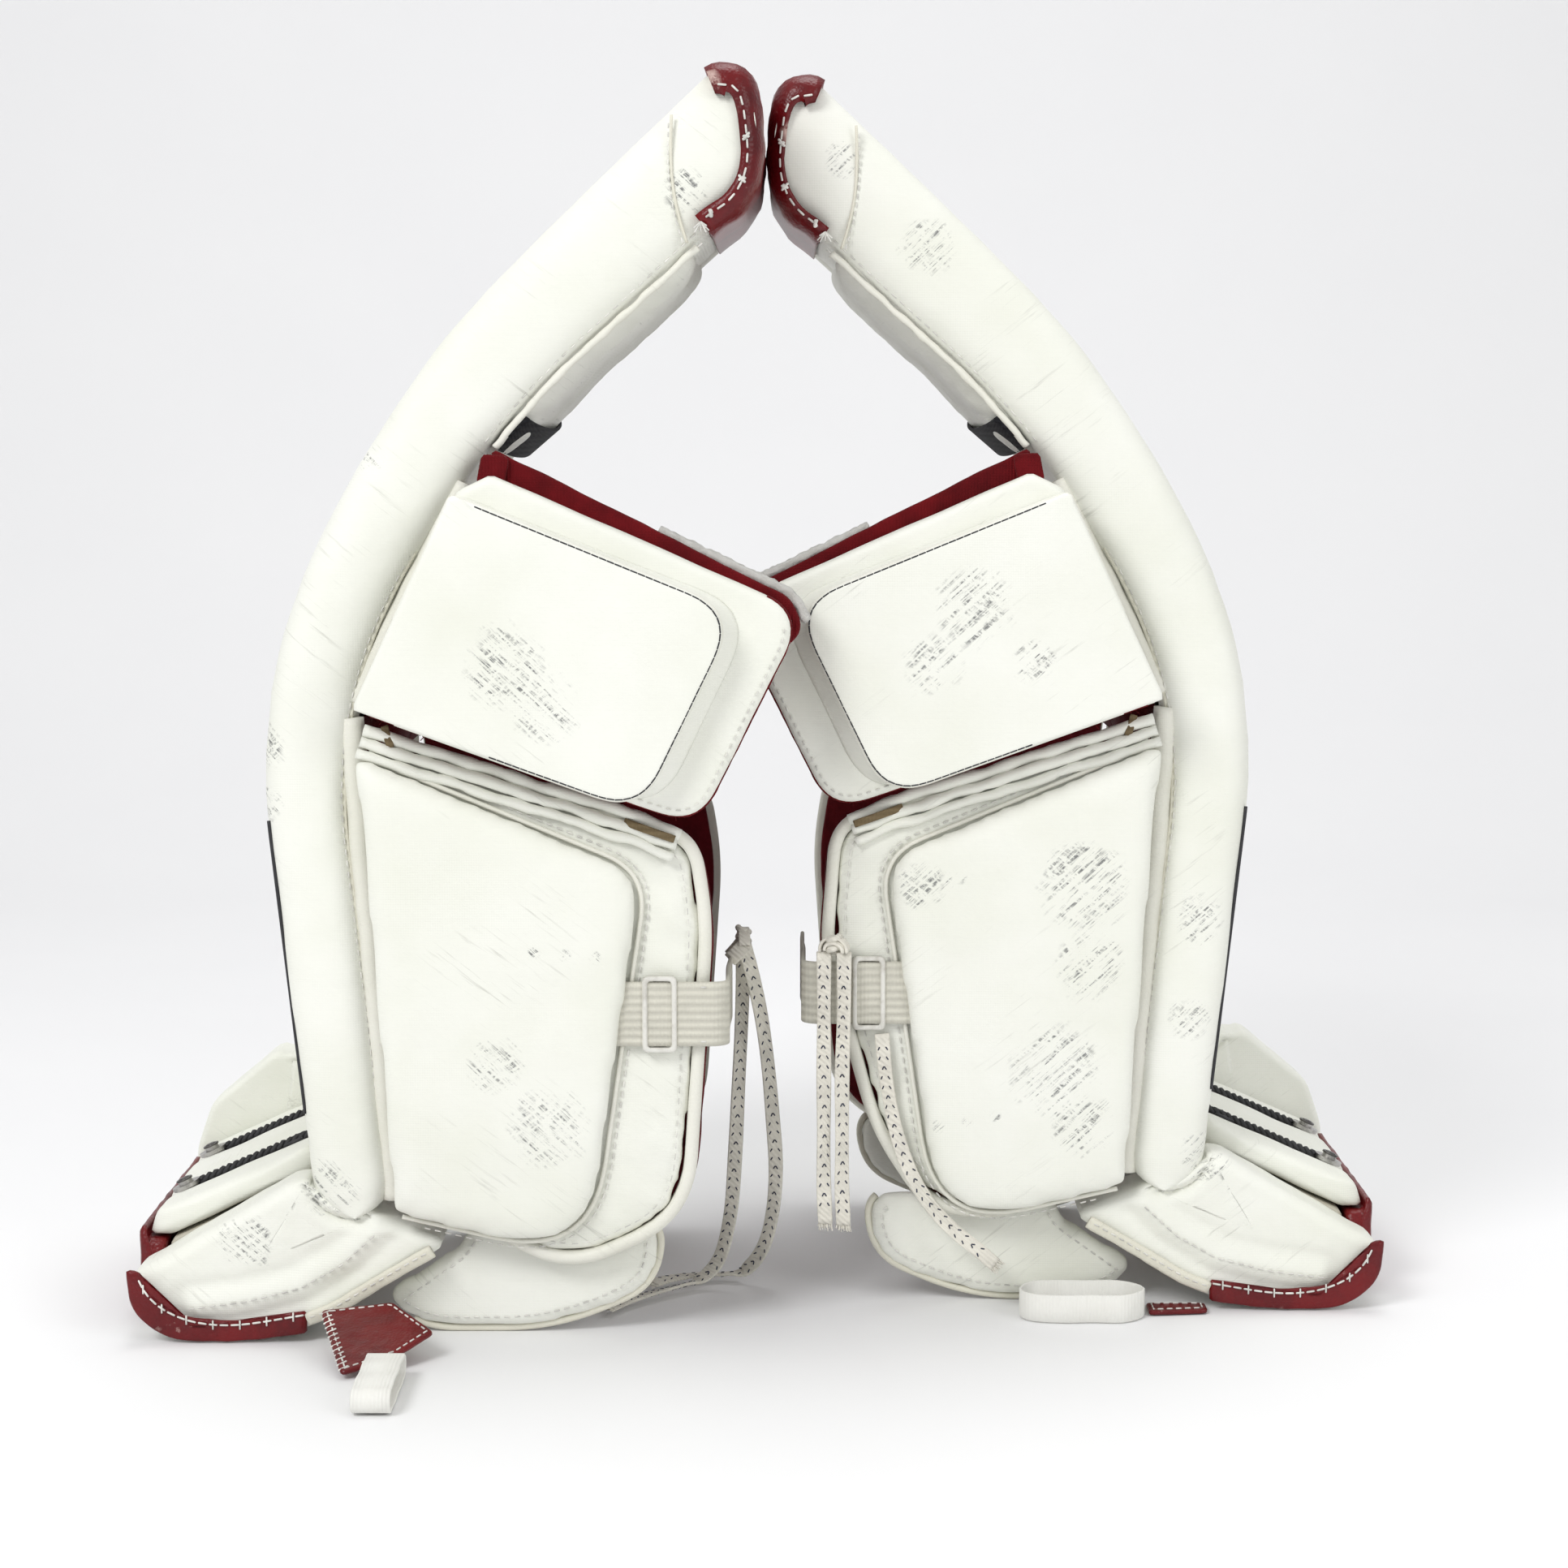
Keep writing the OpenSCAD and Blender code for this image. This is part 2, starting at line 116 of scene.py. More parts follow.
KNEE_END = SHIN_HEAD + arc_step(KNEE_R, LEAN_SHIN, LEAN_MID)
BEND_END = KNEE_END + arc_step(THIGH_R, LEAN_MID, LEAN_TOP)


def lean(s):
    if s < SHIN_LEN:
        return LEAN_SHIN
    if s < S_KNEE:
        return LEAN_SHIN + (s - SHIN_LEN) / KNEE_R
    return min(LEAN_MID + (s - S_KNEE) / THIGH_R, LEAN_TOP)


def outward(s):
    return np.array([math.cos(lean(s)), math.sin(lean(s))])


def face(s):
    """The playing face's line, at length s."""
    if s < SHIN_LEN:
        return SHIN_FOOT + (SHIN_HEAD - SHIN_FOOT) * s / SHIN_LEN
    if s < S_KNEE:
        return SHIN_HEAD + arc_step(KNEE_R, LEAN_SHIN, lean(s))
    if s < S_BEND:
        return KNEE_END + arc_step(THIGH_R, LEAN_MID, lean(s))
    return BEND_END + (s - S_BEND) * np.array([-math.sin(LEAN_TOP), math.cos(LEAN_TOP)])


def back(s):
    """The back edge that belongs to face(s)."""
    b = s if s < S_SPLIT else S_SPLIT + (s - S_SPLIT) * BACK_SHARE
    t = SHIN_T + max(0.0, b - SWELL_S) * (THIGH_T - SHIN_T) / (S_TOP - SWELL_S)
    return face(b) - outward(b) * t


KNUCKLE = (face(0) + back(0)) / 2


# --- Mesh building ---
def add(name, side, shape, mat, body, slot, replaces=(), smooth=True, fill=None, blend_to=None, bevel=0):
    """Makes one piece from pad-frame points and faces, and hands it to the frame; a piece given blend_to is left
    unparented instead.
    """
    points, faces = shape
    way = SIDES[side][0]
    mesh = bpy.data.meshes.new(f"{side}_{name}")
    flip = (lambda f: tuple(reversed(f))) if way < 0 else tuple
    mesh.from_pydata(place(points, side).tolist(), [], [flip(f) for f in faces])
    mesh.validate()
    mesh.polygons.foreach_set("use_smooth", [smooth] * len(mesh.polygons))
    obj = bpy.data.objects.new(f"{side}_{name}", mesh)
    bpy.context.scene.collection.objects.link(obj)
    for m in mat if isinstance(mat, (list, tuple)) else [mat]:
        mesh.materials.append(m)
    if bevel:
        mod = obj.modifiers.new("bevel", "BEVEL")
        mod.width = bevel * MM
        mod.segments = 3
    if blend_to:
        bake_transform(obj)
    else:
        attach(obj, f"{side}_{body}")
    if replaces:
        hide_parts(*(f"{side}_{node}" for node in replaces))
    return obj


def both(name, shape, mat, body, slot, **more):
    return [add(name, side, shape, mat, body, slot, **more) for side in SIDES]


def merge(*shapes):
    points, faces, start = [], [], 0
    for p, f in shapes:
        p = np.asarray(p, float).reshape(-1, 3)
        points.append(p)
        faces += [tuple(i + start for i in face_) for face_ in f]
        start += len(p)
    return np.concatenate(points), faces


def loft(rings, closed=False):
    """A skin over rings of points with the same number of points each, with fans over its ends."""
    rings = np.asarray(rings, float)
    n, m, _ = rings.shape
    points = rings.reshape(-1, 3)
    faces = []
    for j in range(n if closed else n - 1):
        a, b = j * m, (j + 1) % n * m
        faces += [(a + i, a + (i + 1) % m, b + (i + 1) % m, b + i) for i in range(m)]
    if not closed:
        ends = np.stack([rings[0].mean(0), rings[-1].mean(0)])
        points = np.concatenate([points, ends])
        faces += [((i + 1) % m, i, n * m) for i in range(m)]
        faces += [((n - 1) * m + i, (n - 1) * m + (i + 1) % m, n * m + 1) for i in range(m)]
    return facing_out(points, faces)


def facing_out(points, faces):
    """Turns the faces so that the closed skin's volume is positive."""
    total = 0.0
    for f in faces:
        a = points[f[0]]
        for i in range(1, len(f) - 1):
            total += float(np.dot(a, np.cross(points[f[i]], points[f[i + 1]])))
    return points, faces if total > 0 else [tuple(reversed(f)) for f in faces]


def rounded(corners, step=4.0):
    """A closed XZ outline from [x, z, radius] corners, with points about a step apart."""
    out, n = [], len(corners)
    for i, (x, z, r) in enumerate(corners):
        p, q = np.array(corners[i - 1][:2], float), np.array(corners[(i + 1) % n][:2], float)
        c = np.array([x, z], float)
        u, v = unit(p - c), unit(q - c)
        half = math.acos(max(-1, min(1, float(u @ v)))) / 2
        if r == 0:
            out.append(c)
            continue
        reach = min(r / math.tan(half), 0.48 * np.linalg.norm(p - c), 0.48 * np.linalg.norm(q - c))
        start, end = c + u * reach, c + v * reach
        for t in np.linspace(0, 1, 9):
            out.append((1 - t) ** 2 * start + 2 * t * (1 - t) * c + t**2 * end)
    return respaced(np.array(out), step, closed=True)


def respaced(line, step, closed=False):
    """The same line, with points evenly about a step apart."""
    line = np.asarray(line, float)
    if closed:
        line = np.concatenate([line, line[:1]])
    along = np.concatenate([[0], np.cumsum(np.linalg.norm(np.diff(line, axis=0), axis=1))])
    count = max(4, int(round(along[-1] / step)))
    at = np.linspace(0, along[-1], count + 1)
    out = np.stack([np.interp(at, along, line[:, k]) for k in range(line.shape[1])], axis=1)
    return out[:-1] if closed else out


def smooth_path(points, step=3.0):
    """A Catmull-Rom curve through points, respaced."""
    p = np.asarray(points, float)
    p = np.concatenate([[2 * p[0] - p[1]], p, [2 * p[-1] - p[-2]]])
    out = []
    for i in range(1, len(p) - 2):
        for t in np.linspace(0, 1, 12, endpoint=False):
            a, b, c, d = p[i - 1 : i + 3]
            out.append(0.5 * (2 * b + (c - a) * t + (2 * a - 5 * b + 4 * c - d) * t**2
                              + (3 * b - a - 3 * c + d) * t**3))
    out.append(p[-2])
    return respaced(np.array(out), step)


def edge_distance(p, outline):
    """How far XZ points are from a closed outline."""
    a, b = outline, np.roll(outline, -1, axis=0)
    d = b - a
    best = np.full(len(p), np.inf)
    for start, along in zip(a, d):
        t = np.clip(((p - start) @ along) / max(along @ along, 1e-9), 0, 1)
        best = np.minimum(best, np.linalg.norm(p - start - t[:, None] * along, axis=1))
    return best


def dome_profile(d, r):
    """0 at the edge, rising along a quarter circle to 1 at distance r."""
    return np.sqrt(1 - (1 - np.clip(d / r, 0, 1)) ** 2)


def pillow(outline, front, rear, r_front, r_back, crown=0.0, rim=0.0, centre=None, rings=26, detail=None):
    """A closed padded panel with an XZ outline between two y planes; front is the lower y.

    Its edges round over by r_front and r_back, its front swells by crown and its side wall by rim.
    detail(x, z, d) adds to the front's height."""
    c = outline.mean(0) if centre is None else np.array(centre, float)
    scales = 1 - (np.arange(rings) / rings) ** 1.6
    deep = edge_distance(c[None], outline)[0]

    def layer(t, y_edge, r, way, extra, worked):
        p = c + (outline - c) * t
        d = edge_distance(p, outline) if t < 1 else np.zeros(len(p))
        up = r * dome_profile(d, r) + extra * np.clip(d / deep, 0, 1) ** 0.7
        if worked and detail is not None:
            up = up + detail(p[:, 0], p[:, 1], d)
        return np.stack([p[:, 0], y_edge + way * up, p[:, 1]], axis=1)

    sheets = [layer(t, front + r_front, r_front, -1, crown, True) for t in scales[::-1]]
    y0, y1 = front + r_front, rear - r_back
    for k in (0.25, 0.5, 0.75):
        out = c + (outline - c) * (1 + rim * math.sin(math.pi * k)
                                   / np.linalg.norm(outline - c, axis=1))[:, None]
        sheets.append(np.stack([out[:, 0], np.full(len(out), y0 + (y1 - y0) * k), out[:, 1]], axis=1))
    sheets += [layer(t, y1, r_back, 1, crown * 0.3, False) for t in scales]
    return loft(sheets)


def frames(path, up):
    """Tangent, side and normal at each point of a path, with the normal near up."""
    t = np.gradient(path, axis=0)
    t /= np.linalg.norm(t, axis=1)[:, None]
    up = np.broadcast_to(np.asarray(up, float), t.shape)
    side = np.cross(t, up)
    side /= np.maximum(np.linalg.norm(side, axis=1), 1e-9)[:, None]
    return t, side, np.cross(side, t)


def ribbon(path, wide, thick, up, corners=3):
    """A flat band with rounded edges along a path; wide may vary along it."""
    _, side, normal = frames(path, up)
    wide = np.broadcast_to(np.asarray(wide, float), (len(path),))
    rings = []
    for i, p in enumerate(path):
        w, h = wide[i] / 2, thick / 2
        r = min(h, w) * 0.95
        ring = []
        for cx, cy, a0 in ((w - r, h - r, 0), (-(w - r), h - r, 90), (-(w - r), -(h - r), 180),
                           (w - r, -(h - r), 270)):
            for k in range(corners + 1):
                a = math.radians(a0 + 90 * k / corners)
                ring.append(p + side[i] * (cx + r * math.cos(a)) + normal[i] * (cy + r * math.sin(a)))
        rings.append(ring)
    return loft(rings)


def tube(path, r, up=(0.3, 0.9, 0.3), sides=8):
    _, side, normal = frames(path, up)
    a = np.linspace(0, 2 * math.pi, sides, endpoint=False)
    r = np.broadcast_to(np.asarray(r, float), (len(path),))
    rings = [p + r[i] * (np.outer(np.cos(a), side[i]) + np.outer(np.sin(a), normal[i])) for i,
             p in enumerate(path)]
    return loft(rings)


def stitch(a, b, r):
    """One stitch of thread: a short capsule from a to b."""
    a, b = np.asarray(a, float), np.asarray(b, float)
    d = unit(b - a)
    path = np.array([a - d * r * 0.6, a, (a + b) / 2, b, b + d * r * 0.6])
    _, side, normal = frames(path, (0.31, 0.42, 0.85))
    angles = np.linspace(0, 2 * math.pi, 6, endpoint=False)
    radii = [0.35 * r, r, r * 1.05, r, 0.35 * r]
    return loft([p + radii[i] * (np.outer(np.cos(angles), side[i]) + np.outer(np.sin(angles), normal[i]))
                 for i, p in enumerate(path)])


def running_stitch(path, length, gap, r):
    """A row of stitches along a path."""
    path = np.asarray(path, float)
    along = np.concatenate([[0], np.cumsum(np.linalg.norm(np.diff(path, axis=0), axis=1))])
    at = lambda s: np.array([np.interp(s, along, path[:, k]) for k in range(3)])
    starts = np.arange(gap, along[-1] - length, length + gap)
    return merge(*(stitch(at(s), at(s + length), r) for s in starts))


def lift(points, normals, amount):
    return points + normals * np.asarray(amount)[:, None]


def rough(points, size, seed=0.0):
    """Smooth noise at pad-frame points, about -1 to 1, with features of that size in millimetres."""
    return np.array([noise.noise(Vector((x / size + seed, y / size, z / size - seed))) for x, y, z in points])


def point_normals(points, faces):
    n = np.zeros_like(points)
    for f in faces:
        p = points[list(f)]
        normal = np.cross(p[1] - p[0], p[2] - p[0])
        if len(f) == 4:
            normal = normal + np.cross(p[2] - p[0], p[3] - p[0])
        for i in f:
            n[i] += normal
    return n / np.maximum(np.linalg.norm(n, axis=1), 1e-9)[:, None]


def crumple(shape, amount, size, seed=0.0):
    """Pushes a skin in and out with smooth noise."""
    points, faces = shape
    push = amount * rough(points, size, seed)
    return lift(points, point_normals(points, faces), push), faces


def swell(shape, voxel=5.0, pressure=4.0, cap=9.0):
    """Cloth under a little air pressure: the padded fabric's own fullness and puckers."""
    points, faces = shape
    scene = bpy.context.scene
    mesh = bpy.data.meshes.new("swell")
    mesh.from_pydata((points * MM).tolist(), [], faces)
    obj = bpy.data.objects.new("swell", mesh)
    scene.collection.objects.link(obj)
    bpy.context.view_layer.objects.active = obj
    remesh = obj.modifiers.new("remesh", "REMESH")
    remesh.mode = "VOXEL"
    remesh.voxel_size = voxel * MM
    bpy.ops.object.modifier_apply(modifier="remesh")
    before = np.array([v.co for v in obj.data.vertices])
    cloth = obj.modifiers.new("cloth", "CLOTH")
    cloth.settings.quality = 5
    cloth.settings.mass = 0.2
    cloth.settings.tension_stiffness = 25
    cloth.settings.compression_stiffness = 25
    cloth.settings.shear_stiffness = 8
    cloth.settings.bending_stiffness = 0.6
    cloth.settings.use_pressure = True
    cloth.settings.uniform_pressure_force = pressure
    cloth.settings.effector_weights.gravity = 0
    cloth.point_cache.frame_start = 1
    cloth.point_cache.frame_end = 20
    for f in range(1, 21):
        scene.frame_set(f)
    bpy.context.view_layer.update()
    done = obj.evaluated_get(bpy.context.evaluated_depsgraph_get()).to_mesh()
    after = np.array([v.co for v in done.vertices])
    move = after - before
    far = np.linalg.norm(move, axis=1)
    move *= np.minimum(1, cap * MM / np.maximum(far, 1e-9))[:, None]
    mesh = obj.data
    obj.modifiers.clear()
    mesh.vertices.foreach_set("co", (before + move).ravel())
    obj.modifiers.new("smooth", "SMOOTH").iterations = 2
    obj.modifiers.new("divide", "SUBSURF").levels = 1
    full = obj.evaluated_get(bpy.context.evaluated_depsgraph_get()).to_mesh()
    out = np.array([v.co for v in full.vertices]) / MM
    skin = [tuple(p.vertices) for p in full.polygons]
    bpy.data.objects.remove(obj)
    scene.frame_set(1)
    return out, skin


# --- Materials ---
class Shader:
    """A material's node tree, with short calls for the nodes used here."""

    def __init__(self, name, colour, roughness, **sockets):
        self.mat = bpy.data.materials.new(name)
        self.mat.use_nodes = True
        self.tree = self.mat.node_tree
        self.bsdf = self.tree.nodes["Principled BSDF"]
        self.bsdf.inputs["Base Color"].default_value = (*colour, 1)
        self.bsdf.inputs["Roughness"].default_value = roughness
        for socket, value in sockets.items():
            self.bsdf.inputs[socket.replace("_", " ")].default_value = value
        self.where = self.node("ShaderNodeTexCoord").outputs["Object"]

    def node(self, kind, **values):
        node = self.tree.nodes.new(kind)
        for key, value in values.items():
            if hasattr(node, key):
                setattr(node, key, value)
            else:
                self.put(node.inputs[key.replace("_", " ")], value)
        return node

    def put(self, socket, value):
        if isinstance(value, bpy.types.NodeSocket):
            self.tree.links.new(value, socket)
        else:
            socket.default_value = value

    def noise(self, scale, detail=4.0, rough=0.6, at=None):
        return self.node("ShaderNodeTexNoise", Vector=at or self.where, Scale=scale, Detail=detail,
                         Roughness=rough).outputs["Fac"]

    def stretched(self, x, y, z, turn=(0, 0, 0)):
        """Coordinates mirrored between the pads, then turned and stretched."""
        mirrored = self.node("ShaderNodeVectorMath", operation="ABSOLUTE")
        self.put(mirrored.inputs[0], self.where)
        return self.node("ShaderNodeMapping", vector_type="TEXTURE", Vector=mirrored.outputs[0],
                         Scale=(1 / x, 1 / y, 1 / z), Rotation=turn).outputs["Vector"]

    def ramp(self, fac, low, high, a=0.0, b=1.0):
        """a below low, b above high."""
        node = self.node("ShaderNodeMapRange")
        for i, v in enumerate((fac, low, high, a, b)):
            self.put(node.inputs[i], v)
        return node.outputs[0]

    def math(self, op, a, b=0.0):
        node = self.node("ShaderNodeMath", operation=op)
        self.put(node.inputs[0], a)
        self.put(node.inputs[1], b)
        return node.outputs[0]

    def mix(self, fac, a, b):
        node = self.node("ShaderNodeMix", data_type="RGBA")
        for i, v in ((0, fac), (6, (*a, 1) if isinstance(a, tuple) else a),
                     (7, (*b, 1) if isinstance(b, tuple) else b)):
            self.put(node.inputs[i], v)
        return node.outputs[2]

    def wave(self, scale, direction="Z"):
        return self.node("ShaderNodeTexWave", bands_direction=direction, Vector=self.where, Scale=scale,
                         Distortion=0.0, Detail=1.0).outputs["Fac"]

    def spot(self, centre, radius, soft=0.35):
        """1 near a row-frame point, falling to 0 at the radius, with a ragged edge."""
        offset = self.node("ShaderNodeVectorMath", operation="SUBTRACT")
        self.put(offset.inputs[0], self.where)
        self.put(offset.inputs[1], tuple(centre))
        length = self.node("ShaderNodeVectorMath", operation="LENGTH")
        self.put(length.inputs[0], offset.outputs[0])
        ragged = self.math("ADD", length.outputs["Value"],
                           self.math("MULTIPLY", self.noise(60, 3), radius * 0.9))
        return self.ramp(ragged, radius * (1.45 - soft), radius * 1.45, 1.0, 0.0)

    def colour(self, value):
        self.put(self.bsdf.inputs["Base Color"], value)

    def rough(self, value):
        self.put(self.bsdf.inputs["Roughness"], value)

    def bump(self, height, strength=0.3, distance=0.001, under=None):
        node = self.node("ShaderNodeBump", Height=height, Strength=strength, Distance=distance)
        if under is not None:
            self.put(node.inputs["Normal"], under)
        self.put(self.bsdf.inputs["Normal"], node.outputs[0])
        return node.outputs[0]


def row(side, x, y, z):
    return tuple(float(v) for v in place([[x, y, z]], side)[0])


# Scuff marks left by pucks and ice, as (side, x, y, z, radius) in the pad frame, in millimetres.
SCUFFS = [
    ("left", 115, -180, 430, 26), ("left", 92, -180, 398, 20), ("left", 150, -180, 400, 14),
    ("left", 88, -154, 262, 16), ("left", 183, -154, 262, 30), ("left", 188, -154, 214, 22),
    ("left", 168, -154, 150, 30), ("left", 185, -154, 118, 20), ("left", 262, -140, 95, 18),
    ("left", 255, -140, 240, 16), ("left", 250, -140, 180, 14), ("left", 90, -140, 640, 18),
    ("left", 40, -140, 690, 12), ("right", 140, -180, 400, 26), ("right", 120, -180, 378, 22),
    ("right", 120, -154, 130, 26), ("right", 150, -154, 168, 18), ("right", 250, -140, 92, 20),
    ("right", 283, -130, 350, 16), ("right", 281, -130, 318, 12), ("right", 225, -140, 520, 14),
    ("right", 300, -140, 60, 18), ("right", 40, -140, 668, 14),
]
# Short dark dashes, as (side, y, from x and z, to x and z).
DASHES = [("right", -153.6, (132, 235), (88, 231)), ("left", -153.6, (94, 116), (136, 124)),
          ("left", -153.6, (96, 262), (112, 268))]


def leatherette(name="white_leatherette", tint=(0.84, 0.845, 0.785), weave=1400.0, scuffed=True, dirt=0.5):
    """Worn white synthetic leather: a fine ribbed weave under a soft coat, with grey rubs and puck marks."""
    m = Shader(name, tint, 0.52, Specular_IOR_Level=0.35)
    large = m.noise(9, 3)
    fine = m.noise(130, 6, 0.7)
    base = m.mix(m.ramp(large, 0.35, 0.7), tint, tuple(c * k for c, k in zip(tint, (0.93, 0.935, 0.90))))
    rub_at = m.stretched(24, 24, 430, (0, -0.65, 0))
    rubs = m.math("MULTIPLY", m.ramp(m.noise(1.0, 5, 0.65, rub_at), 0.58, 0.70),
                  m.ramp(m.noise(11, 3), 0.50, 0.62))
    shade = m.mix(m.math("MULTIPLY", rubs, dirt), base, (0.42, 0.42, 0.37))
    if scuffed:
        marks = None
        for side, y, low, high in DASHES:
            for t in (0.1, 0.5, 0.9):
                x, z = (a + (b - a) * t for a, b in zip(low, high))
                spot = m.spot(row(side, x, y, z), 4.5 * MM)
                marks = spot if marks is None else m.math("MAXIMUM", marks, spot)
        for side, x, y, z, r in SCUFFS:
            spot = m.spot(row(side, x, y, z), r * MM)
            marks = spot if marks is None else m.math("MAXIMUM", marks, spot)
        long = m.ramp(m.noise(1.0, 4, 0.7, m.stretched(34, 34, 560, (0, -0.75, 0))), 0.50, 0.60)
        short = m.ramp(m.noise(1.0, 3, 0.7, m.stretched(160, 160, 420, (0, 0.6, 0))), 0.44, 0.58)
        streak = m.math("MULTIPLY", long, short)
        shade = m.mix(m.math("MULTIPLY", m.math("MULTIPLY", marks, streak), 0.85), shade, (0.10, 0.105, 0.11))
    m.colour(shade)
    m.rough(m.ramp(fine, 0.3, 0.7, 0.44, 0.64))
    rib = m.math("ADD", m.wave(weave / 6.283, "Z"), m.math("MULTIPLY", m.wave(weave / 6.283, "X"), 0.5))
    low = m.bump(m.math("ADD", m.noise(35, 4), m.math("MULTIPLY", fine, 0.25)), 0.35, 0.0022)
    m.bump(rib, 0.16, 0.0004, low)
    return m.mat


def red_leather():
    """Glossy red leather with a pebbled grain, worn pale on its proud spots."""
    m = Shader("red_leather", (0.20, 0.007, 0.009), 0.36, Specular_IOR_Level=0.36)
    cells = m.node("ShaderNodeTexVoronoi", Vector=m.where, Scale=520.0).outputs["Distance"]
    patches = m.ramp(m.noise(22, 5, 0.7), 0.42, 0.66)
    base = m.mix(patches, (0.155, 0.004, 0.006), (0.085, 0.002, 0.004))
    worn = m.math("MULTIPLY", m.ramp(m.noise(38, 7, 0.75), 0.60, 0.70), m.ramp(m.noise(12, 2), 0.45, 0.62))
    for side, x, z, r in (("left", 42, 716, 18), ("right", 30, 726, 12), ("left", 12, 706, 10)):
        tip = m.math("MULTIPLY", m.spot(row(side, x, -138, z), r * MM),
                     m.ramp(m.noise(70, 6, 0.75), 0.47, 0.56))
        worn = m.math("MAXIMUM", worn, tip)
    m.colour(m.mix(m.math("MULTIPLY", worn, 0.85), base, (0.62, 0.45, 0.40)))
    m.rough(m.ramp(worn, 0.0, 1.0, 0.33, 0.62))
    low = m.bump(m.noise(60, 4), 0.35, 0.0015)
    m.bump(m.math("MULTIPLY", cells, -1.0), 0.35, 0.0006, low)
    return m.mat


def red_fabric():
    """Ribbed woven red fabric."""
    m = Shader("red_fabric", (0.18, 0.006, 0.010), 0.85, Specular_IOR_Level=0.15, Sheen_Weight=0.04)
    m.colour(m.mix(m.ramp(m.noise(45, 5), 0.35, 0.7), (0.15, 0.004, 0.007), (0.08, 0.002, 0.004)))
    ribs = m.wave(170, "X")
    m.bump(m.math("ADD", ribs, m.math("MULTIPLY", m.wave(330, "Z"), 0.5)), 0.6, 0.0006)
    return m.mat


def liner():
    """Dark red brushed liner."""
    m = Shader("liner", (0.12, 0.005, 0.010), 0.9, Specular_IOR_Level=0.15, Sheen_Weight=0.15)
    m.colour(m.mix(m.ramp(m.noise(30, 5, 0.7), 0.3, 0.75), (0.15, 0.005, 0.010), (0.05, 0.002, 0.004)))
    m.bump(m.noise(900, 3), 0.5, 0.0008, m.bump(m.noise(70, 4), 0.4, 0.002))
    return m.mat


def fleece():
    m = Shader("fleece", (0.72, 0.70, 0.64), 0.95, Sheen_Weight=0.8, Sheen_Roughness=0.6)
    m.colour(m.mix(m.ramp(m.noise(120, 6, 0.8), 0.35, 0.65), (0.84, 0.83, 0.78), (0.66, 0.64, 0.58)))
    m.bump(m.noise(420, 6, 0.8), 1.0, 0.0025)
    return m.mat


def webbing(name="webbing", tint=(0.78, 0.76, 0.66), scale=420.0):
    """Ribbed webbing."""
    m = Shader(name, tint, 0.78, Specular_IOR_Level=0.12)
    dark = tuple(c * 0.62 for c in tint)
    ribs = m.wave(scale / 6.283, "Z")
    cross = m.wave(scale / 3.0, "X")
    m.colour(m.mix(m.math("MULTIPLY", m.ramp(ribs, 0.1, 0.5, 1.0, 0.0), 0.6),
                   m.mix(m.noise(60, 4), tint, dark), dark))
    m.bump(m.math("ADD", ribs, m.math("MULTIPLY", cross, 0.25)), 0.8, 0.0009)
    return m.mat


def elastic():
    m = Shader("elastic", (0.74, 0.73, 0.69), 0.75, Sheen_Weight=0.2)
    m.colour(m.mix(m.noise(40, 4), (0.86, 0.86, 0.82), (0.74, 0.73, 0.68)))
    m.bump(m.wave(150, "X"), 0.25, 0.0005)
    return m.mat


def lace_cloth(name, tint):
    m = Shader(name, tint, 0.8, Sheen_Weight=0.25)
    m.colour(m.mix(m.ramp(m.noise(70, 4), 0.3, 0.7), tint, tuple(c * 0.8 for c in tint)))
    m.bump(m.math("ADD", m.wave(190, "DIAGONAL"), m.noise(700, 2)), 0.6, 0.0005)
    return m.mat


def thread(name, colour, roughness=0.6):
    m = Shader(name, colour, roughness)
    m.bump(m.noise(1500, 2), 0.3, 0.0004)
    m.colour(m.mix(m.ramp(m.noise(90, 4), 0.35, 0.7), colour, tuple(c * 0.6 for c in colour)))
    return m.mat


def plastic():
    m = Shader("slide_plastic", (0.70, 0.69, 0.64), 0.38)
    m.colour(m.mix(m.ramp(m.noise(80, 5), 0.5, 0.75), (0.72, 0.71, 0.66), (0.45, 0.43, 0.38)))
    m.bump(m.noise(220, 4), 0.1, 0.0006)
    return m.mat


def steel(name="bolt_steel", tint=(0.46, 0.45, 0.43)):
    m = Shader(name, tint, 0.34, Metallic=1.0)
    m.colour(m.mix(m.ramp(m.noise(170, 6, 0.7), 0.5, 0.72), tint, tuple(c * 0.4 for c in tint)))
    m.rough(m.ramp(m.noise(300, 5), 0.3, 0.7, 0.26, 0.5))
    m.bump(m.noise(1.0, 3, 0.6, m.stretched(120, 1400, 120)), 0.25, 0.0003)
    return m.mat


WHITE = leatherette()
CLEAN = leatherette("white_trim", (0.80, 0.79, 0.72), 1700.0, scuffed=False, dirt=0.3)
CREAM = leatherette("cream_binding", (0.74, 0.72, 0.62), 1700.0, scuffed=False, dirt=0.7)
RED = red_leather()
RED_FABRIC = red_fabric()
LINER = liner()
FLEECE = fleece()
WEB = webbing()
TAN_WEB = webbing("tan_webbing", (0.24, 0.18, 0.10))
ELASTIC = elastic()
BLACK_ELASTIC = webbing("black_elastic", (0.022, 0.022, 0.026), 600.0)
LACE = lace_cloth("lace_cloth", (0.80, 0.77, 0.68))
TRACER = thread("lace_tracer", (0.03, 0.035, 0.07))
THREAD = thread("white_thread", (0.82, 0.81, 0.76))
DARK_THREAD = thread("dark_thread", (0.03, 0.03, 0.035))
PIPING = thread("black_piping", (0.02, 0.02, 0.024), 0.45)
BRAID = thread("braided_cord", (0.035, 0.035, 0.038), 0.7)
PLASTIC = plastic()
STEEL = steel()
DARK_STEEL = steel("dark_steel", (0.13, 0.125, 0.12))
